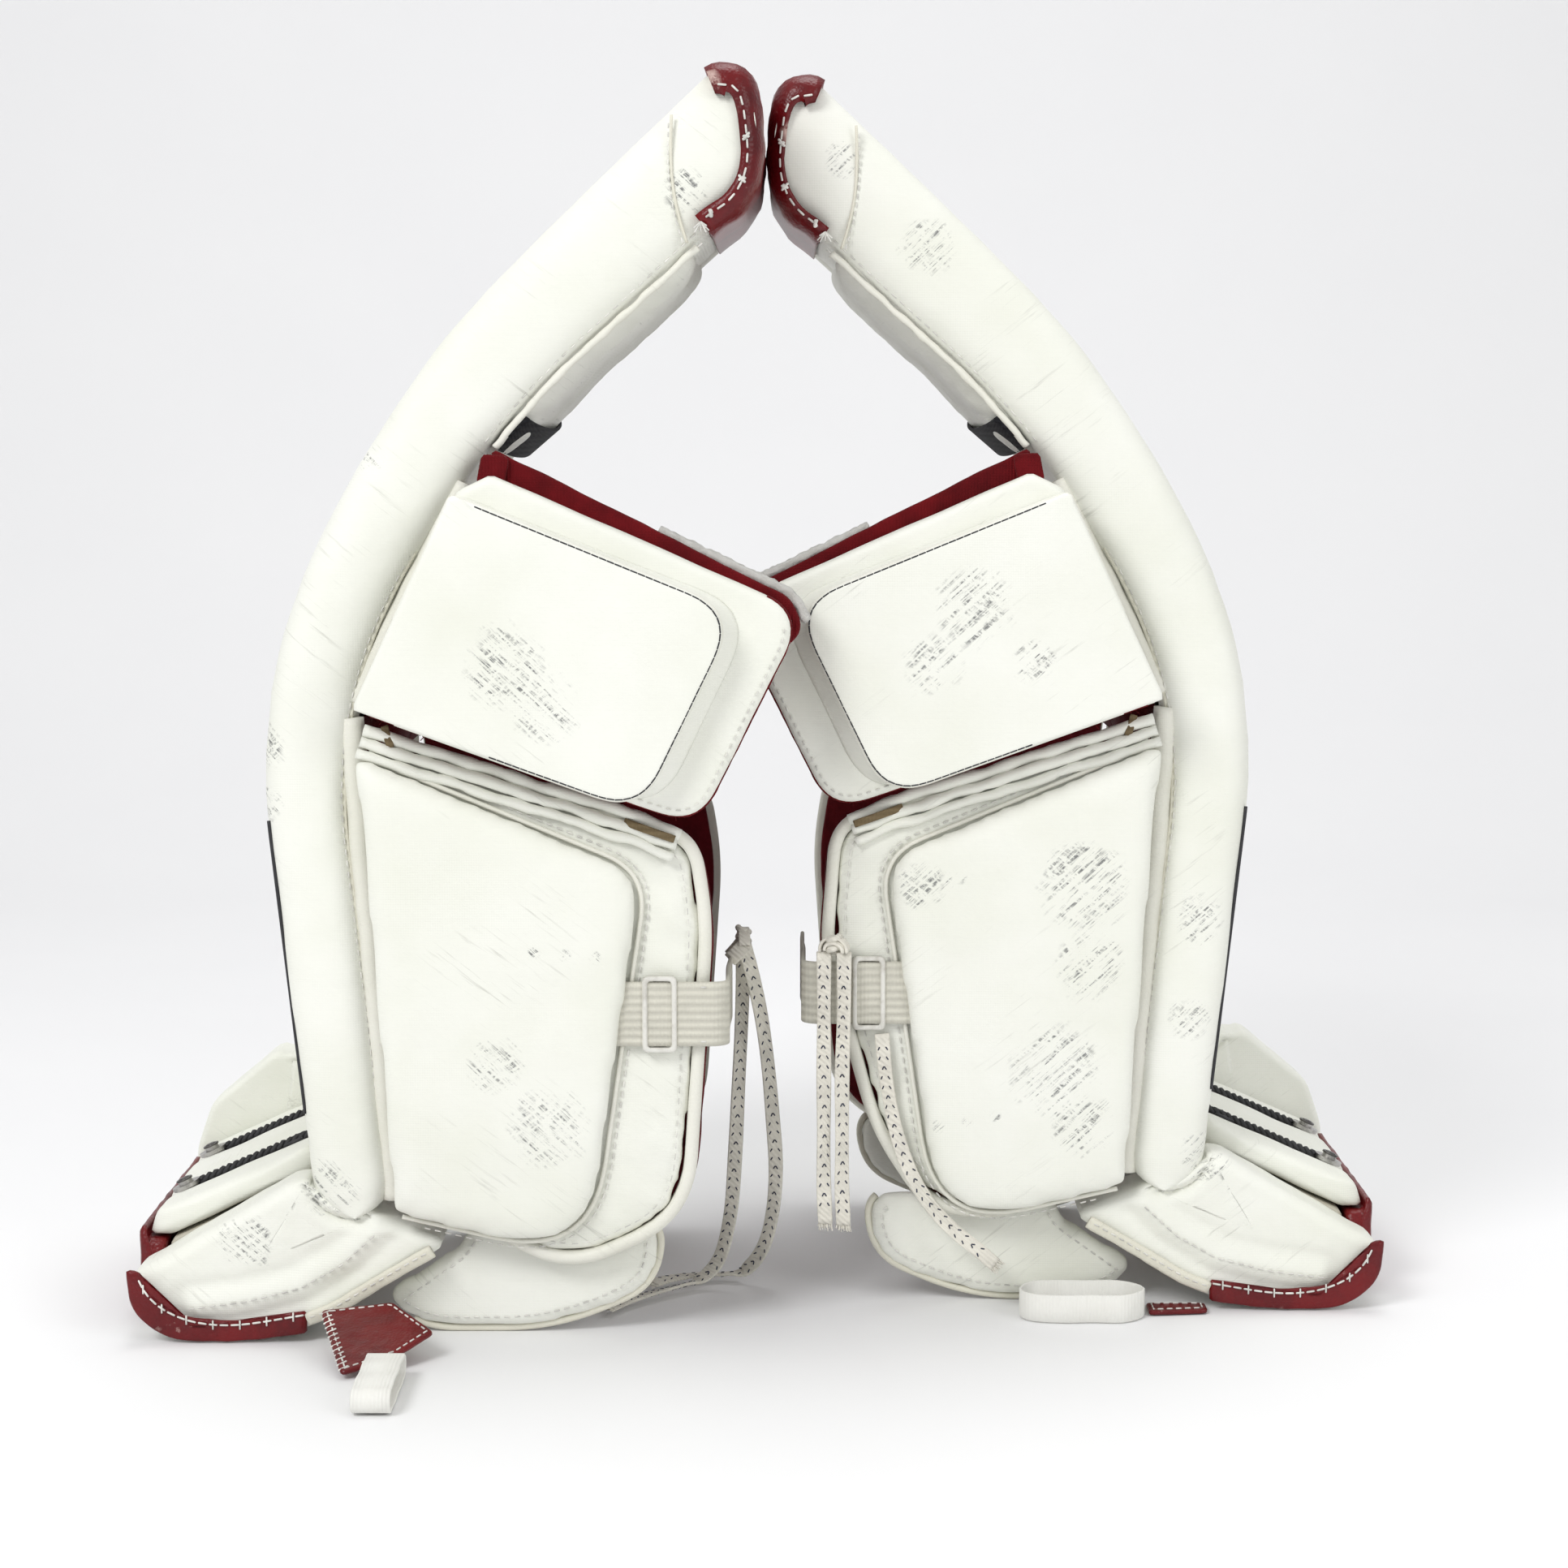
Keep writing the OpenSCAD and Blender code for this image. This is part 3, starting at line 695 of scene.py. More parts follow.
FOAM = leatherette("foam_cloth", (0.55, 0.52, 0.44), 900.0, scuffed=False, dirt=0.6)


# --- Camera, light and floor ---
def make_camera():
    camera = bpy.data.objects.new("camera", bpy.data.cameras.new("camera"))
    camera.data.lens = 75.05
    camera.data.sensor_width = 36
    camera.location = (0.0106, -1.976, 0.544)
    camera.rotation_euler = (math.radians(83.5), 0, 0)
    bpy.context.scene.collection.objects.link(camera)
    bpy.context.scene.camera = camera


def make_floor():
    """A pale sweep: a floor that curves up into a wall."""
    profile = [(-6, 0), (1.6, 0)] + [(1.6 + 1.2 * math.sin(a), 1.2 - 1.2 * math.cos(a))
                                      for a in np.linspace(0, math.pi / 2, 16)[1:]] + [(2.8, 6)]
    points = [(x, y, z) for y, z in profile for x in (-8, 8)]
    faces = [(2 * i, 2 * i + 1, 2 * i + 3, 2 * i + 2) for i in range(len(profile) - 1)]
    mesh = bpy.data.meshes.new("floor")
    mesh.from_pydata(points, [], faces)
    mesh.polygons.foreach_set("use_smooth", [True] * len(mesh.polygons))
    floor = bpy.data.objects.new("floor", mesh)
    m = Shader("floor_paint", (0.86, 0.86, 0.86), 0.7)
    m.colour(m.mix(m.noise(3, 2), (0.87, 0.87, 0.875), (0.84, 0.84, 0.85)))
    mesh.materials.append(m.mat)
    bpy.context.scene.collection.objects.link(floor)
    floor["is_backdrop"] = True


def area_light(name, at, to, size, power):
    light = bpy.data.lights.new(name, "AREA")
    light.shape = "DISK"
    light.size = size
    light.energy = power
    obj = bpy.data.objects.new(name, light)
    obj.location = at
    obj.rotation_euler = (Vector(to) - Vector(at)).to_track_quat("-Z", "Y").to_euler()
    bpy.context.scene.collection.objects.link(obj)


def make_light():
    world = bpy.data.worlds.new("studio")
    world.use_nodes = True
    world.node_tree.nodes["Background"].inputs["Color"].default_value = (1, 1, 1, 1)
    world.node_tree.nodes["Background"].inputs["Strength"].default_value = 0.57
    bpy.context.scene.world = world
    area_light("key", (-1.7, -2.4, 2.6), (0, 0, 0.4), 1.4, 62)
    area_light("fill", (2.2, -2.2, 1.5), (0, 0, 0.35), 1.6, 20)
    area_light("top", (0.2, 0.6, 3.0), (0, 0, 0.3), 1.8, 30)
    bpy.context.scene.view_settings.view_transform = "Standard"


# --- Laces: each route is the middle of a free strand ---
LACES = {
    ("right", "lace_long"): [[8, -58, 223], [3, -57, 204], [-2, -54, 180], [-6, -48, 150], [-9, -42, 115],
                             [-11, -34, 80],
                             [-9, -26, 50], [-3, -17, 25], [8, -10, 9], [22, -6, 5], [38, -8, 5],
                             [54, -16, 5], [66, -28, 5]],
    ("right", "lace_short"): [[9, -45, 223], [9, -44, 200], [10, -42, 170], [12, -38, 130], [14, -32, 90],
                              [17, -26, 50],
                              [24, -22, 20], [36, -26, 7], [50, -36, 5], [66, -52, 5], [80, -68, 5],
                              [90, -84, 5]],
    ("left", "lace_long"): [[29, -153, 223], [29, -154, 195], [29, -155, 160], [29, -155, 120],
                            [29, -154, 85], [30, -153, 57]],
    ("left", "lace_short"): [[41, -156, 223], [41, -157, 190], [40, -156, 150], [40, -155, 110],
                             [40, -154, 80], [41, -153, 56]],
    ("left", "lace_edge"): [[64, -146, 172], [66, -146, 150], [69, -146, 130], [74, -146, 108],
                            [82, -146, 86],
                            [94, -146, 66], [108, -147, 51], [122, -149, 40], [133, -151, 31]],
}
LACE_W = 9.0


def lace_facing(path, twist):
    """The flat side's direction along a lace: towards -Y where it hangs, up where it lies, with a lazy twist."""
    t = np.gradient(path, axis=0)
    t /= np.linalg.norm(t, axis=1)[:, None]
    lying = np.clip(1 - np.abs(t[:, 2]) * 1.3, 0, 1)[:, None]
    flat = (1 - lying) * np.array([0.0, -1.0, 0.0]) + lying * np.array([0.0, 0.0, 1.0])
    flat -= t * (flat * t).sum(1)[:, None]
    flat /= np.linalg.norm(flat, axis=1)[:, None]
    turn = twist * np.sin(np.linspace(0, 2.2 * math.pi, len(path)))[:, None]
    return np.cos(turn) * flat + np.sin(turn) * np.cross(t, flat)


def make_lace(side, name, route):
    path = smooth_path(route, 3.0)
    facing = lace_facing(path, 0.5)
    band = ribbon(path, LACE_W, 2.0, facing)
    obj = add(name + "_band", side, band, LACE, "calf_wing", "lace", replaces=[name])
    marks = []
    across = np.cross(np.gradient(path, axis=0), facing)
    across /= np.linalg.norm(across, axis=1)[:, None]
    for i in range(3, len(path) - 3, 2):
        for way in (-1, 1):
            for face_way in (-1, 1):
                k = way * 2.4 * (1 if (i // 2) % 3 else 0.3)
                middle = path[i] + across[i] * k + facing[i] * 1.0 * face_way
                step = (path[i + 1] - path[i]) * 0.28 + across[i] * 0.5 * way
                marks.append(stitch(middle - step, middle + step, 0.42))
    tracer = add(name + "_tracer", side, merge(*marks), TRACER, "calf_wing", "lace")
    end, along = path[-1], unit(path[-1] - path[-4])
    rng = np.random.default_rng(len(name) + len(side))
    hairs = []
    for k in np.linspace(-3.6, 3.6, 14):
        start = end + across[-1] * k - along * 1.5
        tip = end + across[-1] * (k * 1.25) + along * rng.uniform(1.5,
                                                                  4.5) + facing[-1] * rng.uniform(-1.2, 1.2)
        hairs.append(stitch(start, tip, 0.38))
    fray = add(name + "_fray", side, merge(*hairs), LACE, "calf_wing", "lace")


# --- The rolls along both edges ---
TOP_SAG, FOOT_SAG = 25.0, SHIN_T / 2
TOP_PEAK = np.array([-0.5, 706.0])  # the furthest point of the top end


def roll_sections(front, foot_sag, top_sag, count=64):
    """(centre, half depth, way out along the face) along the roll, with a rounded end at each end."""
    out = []
    for k in range(9, 0, -1):
        a = math.radians(86 * k / 9)
        f, b = face(0) + outward(0) * front, back(0)
        c, h = (f + b) / 2, (f - b) / 2
        down = np.array([h[1], -h[0]]) / np.linalg.norm(h)
        out.append((c + down * foot_sag * math.sin(a), h * math.cos(a)))
    for s in np.linspace(0, S_TOP, count):
        f, b = face(s) + outward(s) * front, back(s)
        out.append(((f + b) / 2, (f - b) / 2))
    c, h = out[-1]
    lean_out = TOP_PEAK - (face(S_TOP) + back(S_TOP)) / 2
    for k in range(1, 13):
        a = math.radians(88 * k / 12)
        out.append((c + lean_out * top_sag / TOP_SAG * math.sin(a), h * math.cos(a) ** 0.62))
    return out


def roll_point(section, y0, y1, angle, power=2.9):
    """A point on a roll's rounded section; angle 0 is the face and 90 the side at y1."""
    c, h = section
    ca, sa = math.cos(angle), math.sin(angle)
    u = math.copysign(abs(ca) ** (2 / power), ca)
    v = math.copysign(abs(sa) ** (2 / power), sa)
    p = c + h * u
    return np.array([p[0], (y0 + y1) / 2 + (y1 - y0) / 2 * v, p[1]])


def roll_shape(y0, y1, front, foot_sag, around=56):
    angles = np.linspace(0, 2 * math.pi, around, endpoint=False)
    rings = [[roll_point(sec, y0, y1, a) for a in angles] for sec in roll_sections(front, foot_sag, TOP_SAG)]
    return loft(rings)


def roll_wrinkles(shape, seed):
    """Puckers across the roll where it bends, and slow dents along it."""
    points, faces = shape
    across = np.array([noise.noise(Vector((x / 60 + seed, y / 45, (x * 0.4 + z) / 9))) for x, y, z in points])
    bend = np.exp(-(((points[:, 2] - 380) / 90) ** 2)) + 0.6 * np.exp(-(((points[:, 2] - 110) / 40) ** 2))
    slow = rough(points, 55, seed)
    fine = rough(points, 16, seed + 5)
    return lift(points, point_normals(points, faces),
                0.9 * slow + 0.35 * fine + 0.9 * across * (0.25 + bend)), faces


def xz(p, y=0.0):
    return [p[0], y, p[1]]


def crossing():
    a, b = ((face(s) + back(s)) / 2 for s in (S_SPLIT - 40, S_SPLIT + 40))
    return ("thigh", [xz(a)], [xz(b)])


def make_rolls():
    for name, y0, y1, front, sag, nodes, seed in (
        ("side_roll", -96, -139.6, 0, FOOT_SAG, ("shin_side_roll", "thigh_side_roll"), 2.0),
        ("outer_roll", 96, 139.6, 16, FOOT_SAG + 7, ("shin_outer_roll", "thigh_outer_roll"), 7.0),
    ):
        shape = roll_wrinkles(roll_shape(y0, y1, front, sag), seed)
        both(name + "_cover", shape, WHITE, "shin", "white_leatherette", replaces=nodes, fill=0.9,
             blend_to=crossing())


def on_roll(s, angle, out=0.0, y0=-96, y1=-139.6, front=0.0):
    """A point on the inner roll's surface, moved out from it."""
    f, b = face(s) + outward(s) * front, back(s)
    sec = ((f + b) / 2, (f - b) / 2)
    p = roll_point(sec, y0, y1, angle)
    c = np.array([sec[0][0], (y0 + y1) / 2, sec[0][1]])
    return p + unit(p - c) * out


def make_roll_seams():
    """Black piping down the face edge of the shin, a stitched seam behind it and one along the back edge."""
    edge = np.array([on_roll(s, math.radians(28), 0.3) for s in np.linspace(40, 214, 60)])
    both("edge_piping", tube(edge, 1.1), PIPING, "shin", "white_leatherette")
    rear = np.array([on_roll(s, math.radians(150), 0.1) for s in np.linspace(4, S_SPLIT - 45, 110)])
    both("back_seam", tube(rear, 1.2), CREAM, "shin", "white_leatherette")
    for name, body, s0, s1 in (("roll", "shin", 8, S_SPLIT - 46),
                               ("thigh_roll", "thigh", S_SPLIT + 42, S_TOP - 12)):
        line = np.array([on_roll(s, math.radians(142), 0.25) for s in np.linspace(s0, s1, 120)])
        both(f"{name}_stitches", running_stitch(line, 3.4, 3.2, 0.42), THREAD, body, "white_leatherette")


# --- The foam board between the rolls, in its cover ---
FACE_SEAMS = (92.0, 206.0, 300.0, 364.0, 560.0)


def make_board():
    """One padded skin: a crowned face with sewn cross seams, a flat back, and round ends."""
    across = np.linspace(-1, 1, 41)
    rings = []
    steps = [("foot", k) for k in range(6, 0, -1)] + [("s", s) for s in np.linspace(1, S_TOP - 1, 150)] + \
            [("top", k) for k in range(1, 7)]
    for kind, value in steps:
        s = value if kind == "s" else (1 if kind == "foot" else S_TOP - 1)
        f, b = face(s), back(s)
        c, h = (f + b) / 2, (f - b) / 2
        if kind != "s":
            a = math.radians(80 * value / 6)
            down = np.array([h[1], -h[0]]) / np.linalg.norm(h)
            c = c + (down * (FOOT_SAG - 2) if kind == "foot" else 0.93 * (TOP_PEAK - c)) * math.sin(a)
            h = h * math.cos(a) ** (1 if kind == "foot" else 0.65)
        dip = max((math.exp(-(((s - line) / 3.2) ** 2)) for line in FACE_SEAMS), default=0)
        puff = min((abs(s - line) for line in FACE_SEAMS), default=99)
        n = unit(h)
        ring = []
        for u in across:
            edge = 1 - abs(u) ** 8
            lower = 1.0 + 4.0 * (1 - edge) + (3.4 * dip - 0.8 * min(puff / 30, 1)) * edge
            groove = 2.4 * (math.exp(-(((abs(u) - 0.5) / 0.03) ** 2))) if SHIN_LEN > s else 0
            ring.append([*(c + h - n * (lower + groove * edge)), 95.3 * u])
        for u in across[::-1]:
            ring.append([*(c - h + n * (0.6 + 3.0 * abs(u) ** 8)), 95.3 * u])
        rings.append([[x, y, z] for x, z, y in ring])
    shape = crumple(loft(rings), 0.7, 45, 3.0)
    both("board_cover", shape, WHITE, "shin", "white_leatherette",
         replaces=("shin_face", "thigh_face", "shin_core", "thigh_core"), fill=0.95, blend_to=crossing())
    for i, s in enumerate(FACE_SEAMS):
        if abs(s - S_SPLIT) < 45:
            continue
        body = "shin" if s < S_SPLIT else "thigh"
        rows = []
        for off in (-5.5, 5.5):
            p = face(s + off) - outward(s + off) * 0.6
            rows.append(running_stitch(np.array([[p[0], y, p[1]] for y in np.linspace(-88, 88, 60)]), 3.4,
                                       3.0, 0.5))
        both(f"face_stitches_{i}", merge(*rows), THREAD, body, "white_leatherette")


# --- The red leather cap over the top end ---
def cap_profile():
    """Points round the top end, from its face corner over to its back corner, with outward normals."""
    c, h = (face(S_TOP) + back(S_TOP)) / 2, (face(S_TOP) - back(S_TOP)) / 2
    angles = np.radians(np.linspace(4, 88, 30))
    over = [c + (TOP_PEAK - c) * math.sin(a) + h * math.cos(a) ** 0.62 for a in angles]
    under = [c + (TOP_PEAK - c) * math.sin(a) - h * math.cos(a) ** 0.62 for a in angles[::-1]]
    line = respaced(np.array(over + under + [back(S_TOP - 3), back(S_TOP - 10)]), 4.0)
    t = np.gradient(line, axis=0)
    t /= np.linalg.norm(t, axis=1)[:, None]
    n = np.stack([-t[:, 1], t[:, 0]], axis=1)
    return line, n if n[len(n) // 2] @ (line[len(line) // 2] - c) > 0 else -n


def make_cap(side):
    line, n = cap_profile()
    wide, corner = (6.0, 1.1) if side == "right" else (2.6, 3.4)
    rings, edge = [], []
    total = len(line) - 1
    for i, (p, w) in enumerate(zip(line, n)):
        k = i / total
        reach = wide * (0.85 + corner * math.exp(-(((k - 0.10) / 0.12) ** 2))
                        + 0.35 * math.exp(-(((k - 1) / 0.15) ** 2)))
        puff = 1.0 + 1.6 * math.exp(-(((k - 0.2) / 0.16) ** 2))
        outer = [(95, 2.0), (60, 3.2), (20, 3.4), (-20, 3.0), (-60, 3.3), (-100, 3.2), (-122, 2.6 + puff),
                 (-133, 1.6 + puff),
                 (-139.5, -1.5 + puff / 2), (-142.2, -4), (-142.9, -5 - reach * 0.4), (-142.3, -5 - reach)]
        inner = [(-140.4, -5 - reach), (-140.6, -4), (-137.5, -1.8), (-131, 0.8), (-122, 1.4), (-100, 1.9),
                 (-60, 1.9),
                 (-20, 1.8), (20, 1.9), (60, 1.9), (95, 1.2)]
        wave = 0.45 * math.sin(i * 1.3) + 0.35 * math.sin(i * 0.5 + 2)
        rings.append([[p[0] + w[0] * (d + wave * (d > 2.1)), y, p[1] + w[1] * (d + wave * (d > 2.1))] for y,
                      d in outer + inner])
        edge.append([p[0] - w[0] * (3 + reach * 0.62), -143.2, p[1] - w[1] * (3 + reach * 0.62)])
    shape = crumple(crumple(loft(rings), 0.7, 13, 4.0), 0.35, 5, 1.0)
    add("top_cap", side, shape, RED, "thigh", "red_leather", replaces=["thigh_binding"])
    strip = respaced(np.array(edge), 1.5)
    add("cap_stitches", side, running_stitch(strip, 4.6, 3.4, 0.6), THREAD, "thigh", "red_leather")
    knots = []
    rng = np.random.default_rng(4)
    for k in (0.42, 0.66, 0.93):
        at = strip[int(k * (len(strip) - 1))]
        knots += [stitch(at + [dx, -0.3, dz], at + [dx * -0.6, -0.9, -dz], 0.8)
                  for dx, dz in rng.uniform(-2.2, 2.2, (5, 2))]
    end = strip[-1]
    knots += [stitch(end, end + [rng.uniform(-5, 5), rng.uniform(-1, 0.5), rng.uniform(-8, -2)],
                     0.45) for _ in range(9)]
    add("cap_knots", side, merge(*knots), THREAD, "thigh", "red_leather")


def make_end_seam():
    """The thin seam across the roll's side near its top end."""
    f, b = face(S_TOP - 26), back(S_TOP - 30)
    line = [xz(f + (b - f) * t, -139.9 + 3.2 * abs(2 * t - 1) ** 6) for t in np.linspace(0.06, 0.94, 30)]
    for point, t in zip(line, np.linspace(0, 1, 30)):
        bow = 5 * math.sin(math.pi * t)
        point[0] += bow * math.sin(LEAN_TOP)
        point[2] -= bow * math.cos(LEAN_TOP)
    both("end_seam", tube(np.array(line), 0.9), CREAM, "thigh", "white_leatherette")
    rowed = np.array(line) + [1.6, -0.4, -2.4]
    both("end_seam_stitches", running_stitch(rowed, 2.6, 2.4, 0.45), THREAD, "thigh", "white_leatherette")


# --- The padded gusset behind the thigh rise, and the strap across it ---
def back_sheet(s0, s1, k0, k1, y0, y1, bulge, count=24, across=30, quilting=0.0):
    """A padded slab behind the board from depth k0 to k1, whose far side swells by bulge."""
    rings = []
    for i in range(count + 1):
        s = s0 + (s1 - s0) * i / count
        b, n = back(s), -unit(face(s) - back(s))
        t = i / count
        end = (1 - abs(2 * t - 1) ** 6) ** 0.5 if 0 < i < count else 0.12
        ring = []
        for u in np.linspace(-1, 1, across):
            side_fall = (max(0.0, 1 - abs(u) ** 8)) ** 0.5
            depth = k0 + (k1 - k0) * max(0.15, end * side_fall) + bulge * (1 - u * u) * math.sin(math.pi * t)
            if quilting:
                depth -= quilting * (1 - abs(math.sin(math.pi * 5 * t)) ** 0.35
                                     * abs(math.sin(math.pi * 3 * (u + 1) / 2)) ** 0.35)
            p = b + n * depth
            ring.append([p[0], (y0 + y1) / 2 + (y1 - y0) / 2 * u, p[1]])
        for u in np.linspace(1, -1, 8):
            p = b + n * k0
            ring.append([p[0], (y0 + y1) / 2 + (y1 - y0) / 2 * u, p[1]])
        rings.append(ring)
    return loft(rings)


def make_thigh_back():
    shape = back_sheet(S_SPLIT + 26, S_TOP - 16, -6.0, 7.0, -135, 135, 0.0)
    shape = crumple(crumple(swell(shape, 6.0, 4.0, 4.0), 1.5, 20, 9.0), 0.6, 8, 2.0)
    both("thigh_gusset", shape, WHITE, "thigh", "white_leatherette", replaces=["thigh_back_pad"], fill=0.5)
    b, n = back(S_SPLIT + 66), -unit(face(S_SPLIT + 66) - back(S_SPLIT + 66))
    line = np.array([[*(b + n * (1.5 + 11.5 * math.cos(y / 85) ** 0.5))] for y in np.linspace(-132, 132, 60)])
    line = np.stack([line[:, 0], np.linspace(-132, 132, 60), line[:, 1]], axis=1)
    both("thigh_strap", ribbon(line, 26, 2.2, (n[0], 0, n[1])), BLACK_ELASTIC, "thigh", "elastic")
    hem = np.array([[*(back(s) - unit(face(s) - back(s)) * 1.8)]
                    for s in np.linspace(S_SPLIT + 48, S_TOP - 22, 90)])
    hem = np.stack([hem[:, 0], np.full(90, -131.2), hem[:, 1]], axis=1)
    hem[:, [0, 2]] += 0.8 * np.stack([rough(hem, 15, 1), rough(hem, 15, 6)], axis=1)
    both("gusset_piping", crumple(tube(hem, 2.2, sides=10), 0.7, 8, 3), CLEAN, "thigh", "white_leatherette")
    both("gusset_stitches", running_stitch(hem + [-3.0, -0.8, 2.6], 3.0, 2.6, 0.5), THREAD, "thigh",
         "white_leatherette")


# --- Liner pads in the leg channel ---
def make_channel():
    upper = back_sheet(236, 436, 1.0, 27.0, -94, 94, 0.0, 30, 40, 4.0)
    lower = back_sheet(20, 224, 1.0, 21.0, -94, 94, 0.0, 30, 40, 3.5)
    shape = crumple(merge(lower, upper), 0.8, 20, 6.0)
    both("channel_liner", shape, LINER, "shin", "liner", replaces=["leg_channel"], fill=0.6)


# --- Knee block ---
BLOCK = [[169, 499, 3], [150, 508, 4], [-28, 430, 24], [33, 308, 26], [229, 374, 4]]
BLOCK_CORE = [[152, 489, 4], [-25, 422, 22], [34, 311, 24], [212, 371, 4]]
PANEL = [[171, 498, 2], [9.5, 432, 28], [65, 318, 30], [228, 377, 2]]


def soft_dents(seed, amount, size):
    """Slow dents for the front of a pillow."""
    def detail(x, z, d):
        bumps = np.array([noise.noise(Vector((a / size + seed, b / size, seed))) for a, b in zip(x, z)])
        return amount * bumps * np.clip(d / 8, 0, 1)
    return detail


def ring_inside(outline, inset, y):
    """A closed line inside an outline, at a height y."""
    c = outline.mean(0)
    d = outline - c
    n = np.roll(outline, -1, axis=0) - np.roll(outline, 1, axis=0)
    n = np.stack([-n[:, 1], n[:, 0]], axis=1)
    n /= np.linalg.norm(n, axis=1)[:, None]
    if (n * d).sum() > 0:
        n = -n
    p = outline + n * inset
    return np.stack([p[:, 0], np.full(len(p), y), p[:, 1]], axis=1)


def part_of(line, keep):
    """The longest run of a closed line where keep is true."""
    flags = np.array([bool(keep(p)) for p in line])
    start = int(np.argmin(flags))
    order = [(start + i) % len(line) for i in range(len(line))]
    best, run = [], []
    for i in order:
        run = run + [i] if flags[i] else []
        best = run if len(run) > len(best) else best
    return line[best]


def in_plane_out(line):
    """Directions in the XZ plane that point away from a line's own middle."""
    t = np.gradient(line, axis=0)
    n = np.stack([-t[:, 2], 0 * t[:, 0], t[:, 0]], axis=1)
    n /= np.linalg.norm(n, axis=1)[:, None]
    away = line - line.mean(0)
    return n if (n * away).sum() > 0 else -n


def make_knee_block():
    core = pillow(rounded(BLOCK_CORE), -142.5, -116.5, 8, 10, crown=1, detail=soft_dents(3, 1.2, 30))
    both("knee_lining", core, LINER, "knee_block", "liner", fill=0.8)
    flange_line = rounded(BLOCK)
    flange = pillow(flange_line, -158, -142.7, 4.5, 4, crown=0.6, rim=0.6, detail=soft_dents(5, 0.6, 40))
    both("knee_flange", crumple(flange, 0.4, 22, 8), WHITE, "knee_block", "white_leatherette", fill=0.85)
    wall_line = rounded([[x - (11 if x < 100 else 0), z - (1 if x < 100 else 0), r + 3] for x, z, r in PANEL])
    panel_line = rounded(PANEL)
    rings = []
    n = 160
    a, b = (respaced(np.concatenate([o, o[:1]]), 1.0)[: -1] for o in (wall_line, panel_line))
    pick = lambda o: o[np.linspace(0, len(o), n, endpoint=False).astype(int)]
    for y, k in ((-157, 1.0), (-160.5, 0.8), (-164, 0.55), (-169, 0.2), (-172.5, 0.02), (-174, -0.03)):
        o = pick(b) + (pick(a) - pick(b)) * k
        rings.append(np.stack([o[:, 0], np.full(n, float(y)), o[:, 1]], axis=1))
    both("knee_wall", crumple(loft(rings), 0.35, 18, 2), WHITE, "knee_block", "white_leatherette",
         replaces=["knee_block"], fill=0.9)
    panel = pillow(panel_line, -180, -172.2, 2.2, 1.0, crown=0.8, detail=soft_dents(9, 0.4, 45))
    both("knee_panel_cover", crumple(panel, 0.25, 26, 11), WHITE, "knee_block", "white_leatherette",
         replaces=["knee_panel"], fill=0.95)
    free = part_of(ring_inside(panel_line, 1.2, -179.6), lambda p: p[0] < 158 and (p[2] > 335 or p[0] < 110))
    both("panel_stitches", running_stitch(free, 4.0, 0.7, 0.5), DARK_THREAD, "knee_block",
         "white_leatherette")
    line = part_of(ring_inside(panel_line, 0.2, -176.8), lambda p: p[0] < 205)
    both("panel_piping", tube(respaced(line, 3), 0.8), CLEAN, "knee_block", "white_leatherette")
    make_block_trim(flange_line)


def make_block_trim(flange_line):
    """The ribbed red lining that stands up behind the block's top, its thin red edge and the fleece."""
    flap_line = rounded([[152, 524, 3], [-20, 438, 22], [-28, 420, 14], [-10, 402, 4], [140, 480, 4]], 3)
    flap = pillow(flap_line, -142.6, -137.2, 1.6, 1.6, rings=16, detail=soft_dents(1, 0.9, 11))
    both("block_band", crumple(flap, 0.8, 16, 3), RED_FABRIC, "knee_block", "red_leather")
    fold = pillow(rounded([[156, 520, 3], [140, 519, 4], [143, 504, 4], [160, 500, 4]], 3), -146.5, -142.0,
                  1.5, 1,
                  detail=soft_dents(1, 0.8, 8))
    both("band_fold", fold, RED_FABRIC, "knee_block", "red_leather")
    edge = part_of(ring_inside(flange_line, 0.6, -149.5), lambda p: p[2] < 440 and p[0] < 222)
    edge = respaced(edge, 3)
    both("block_edge", crumple(ribbon(edge, 10.5, 2.6, in_plane_out(edge)), 0.3, 7, 2), RED_FABRIC,
         "knee_block", "red_leather")
    stitched = part_of(ring_inside(flange_line, 4.0, -158.9), lambda p: p[2] < 425 and p[0] < 205)
    both("block_stitches", running_stitch(stitched, 2.6, 3.0, 0.4), THREAD, "knee_block", "white_leatherette")
    top = [[x, -131, 449.5 + 0.472 * x] for x in np.linspace(56, -18,
                                                             20)] + [[-25, -131, 433], [-29, -131, 424]]
    strip = respaced(np.array(top), 1.6)
    hair = crumple(crumple(ribbon(strip, 13, 6, in_plane_out(strip)), 0.9, 4, 1), 0.6, 2.2, 5)
    both("block_fleece", hair, FLEECE, "knee_block", "liner")
    rng = np.random.default_rng(11)
    hairs = []
    for _ in range(150):
        x = rng.uniform(45, 215)
        at = np.array([x, rng.uniform(-141, -126), np.interp(x, [33, 229], [309, 373]) + 1.0])
        hairs.append(stitch(at, at + [rng.uniform(-6, 6), rng.uniform(-4, 2), rng.uniform(-6, 1)], 0.28))
    both("block_fray", merge(*hairs), RED_FABRIC, "knee_block", "liner")


# --- Calf wing, landing, strap and slide ---
WING = [[229, 362, 4], [34, 300, 30], [26, 250, 200], [38, 74, 60], [112, 40, 130], [168, 74, 60],
        [206, 92, 4]]
NARROW_WING = [[229, 362, 4], [34, 300, 30], [28, 222, 90], [58, 112, 160], [92, 60, 60], [140, 57, 120],
               [168, 74, 60], [206, 92, 4]]
LANDING = [[233, 351, 5], [62, 280, 34], [96, 50, 60], [214, 77, 8]]
STRAP_Z, STRAP_W, STRAP_Y = 178.0, 38.0, -147.5


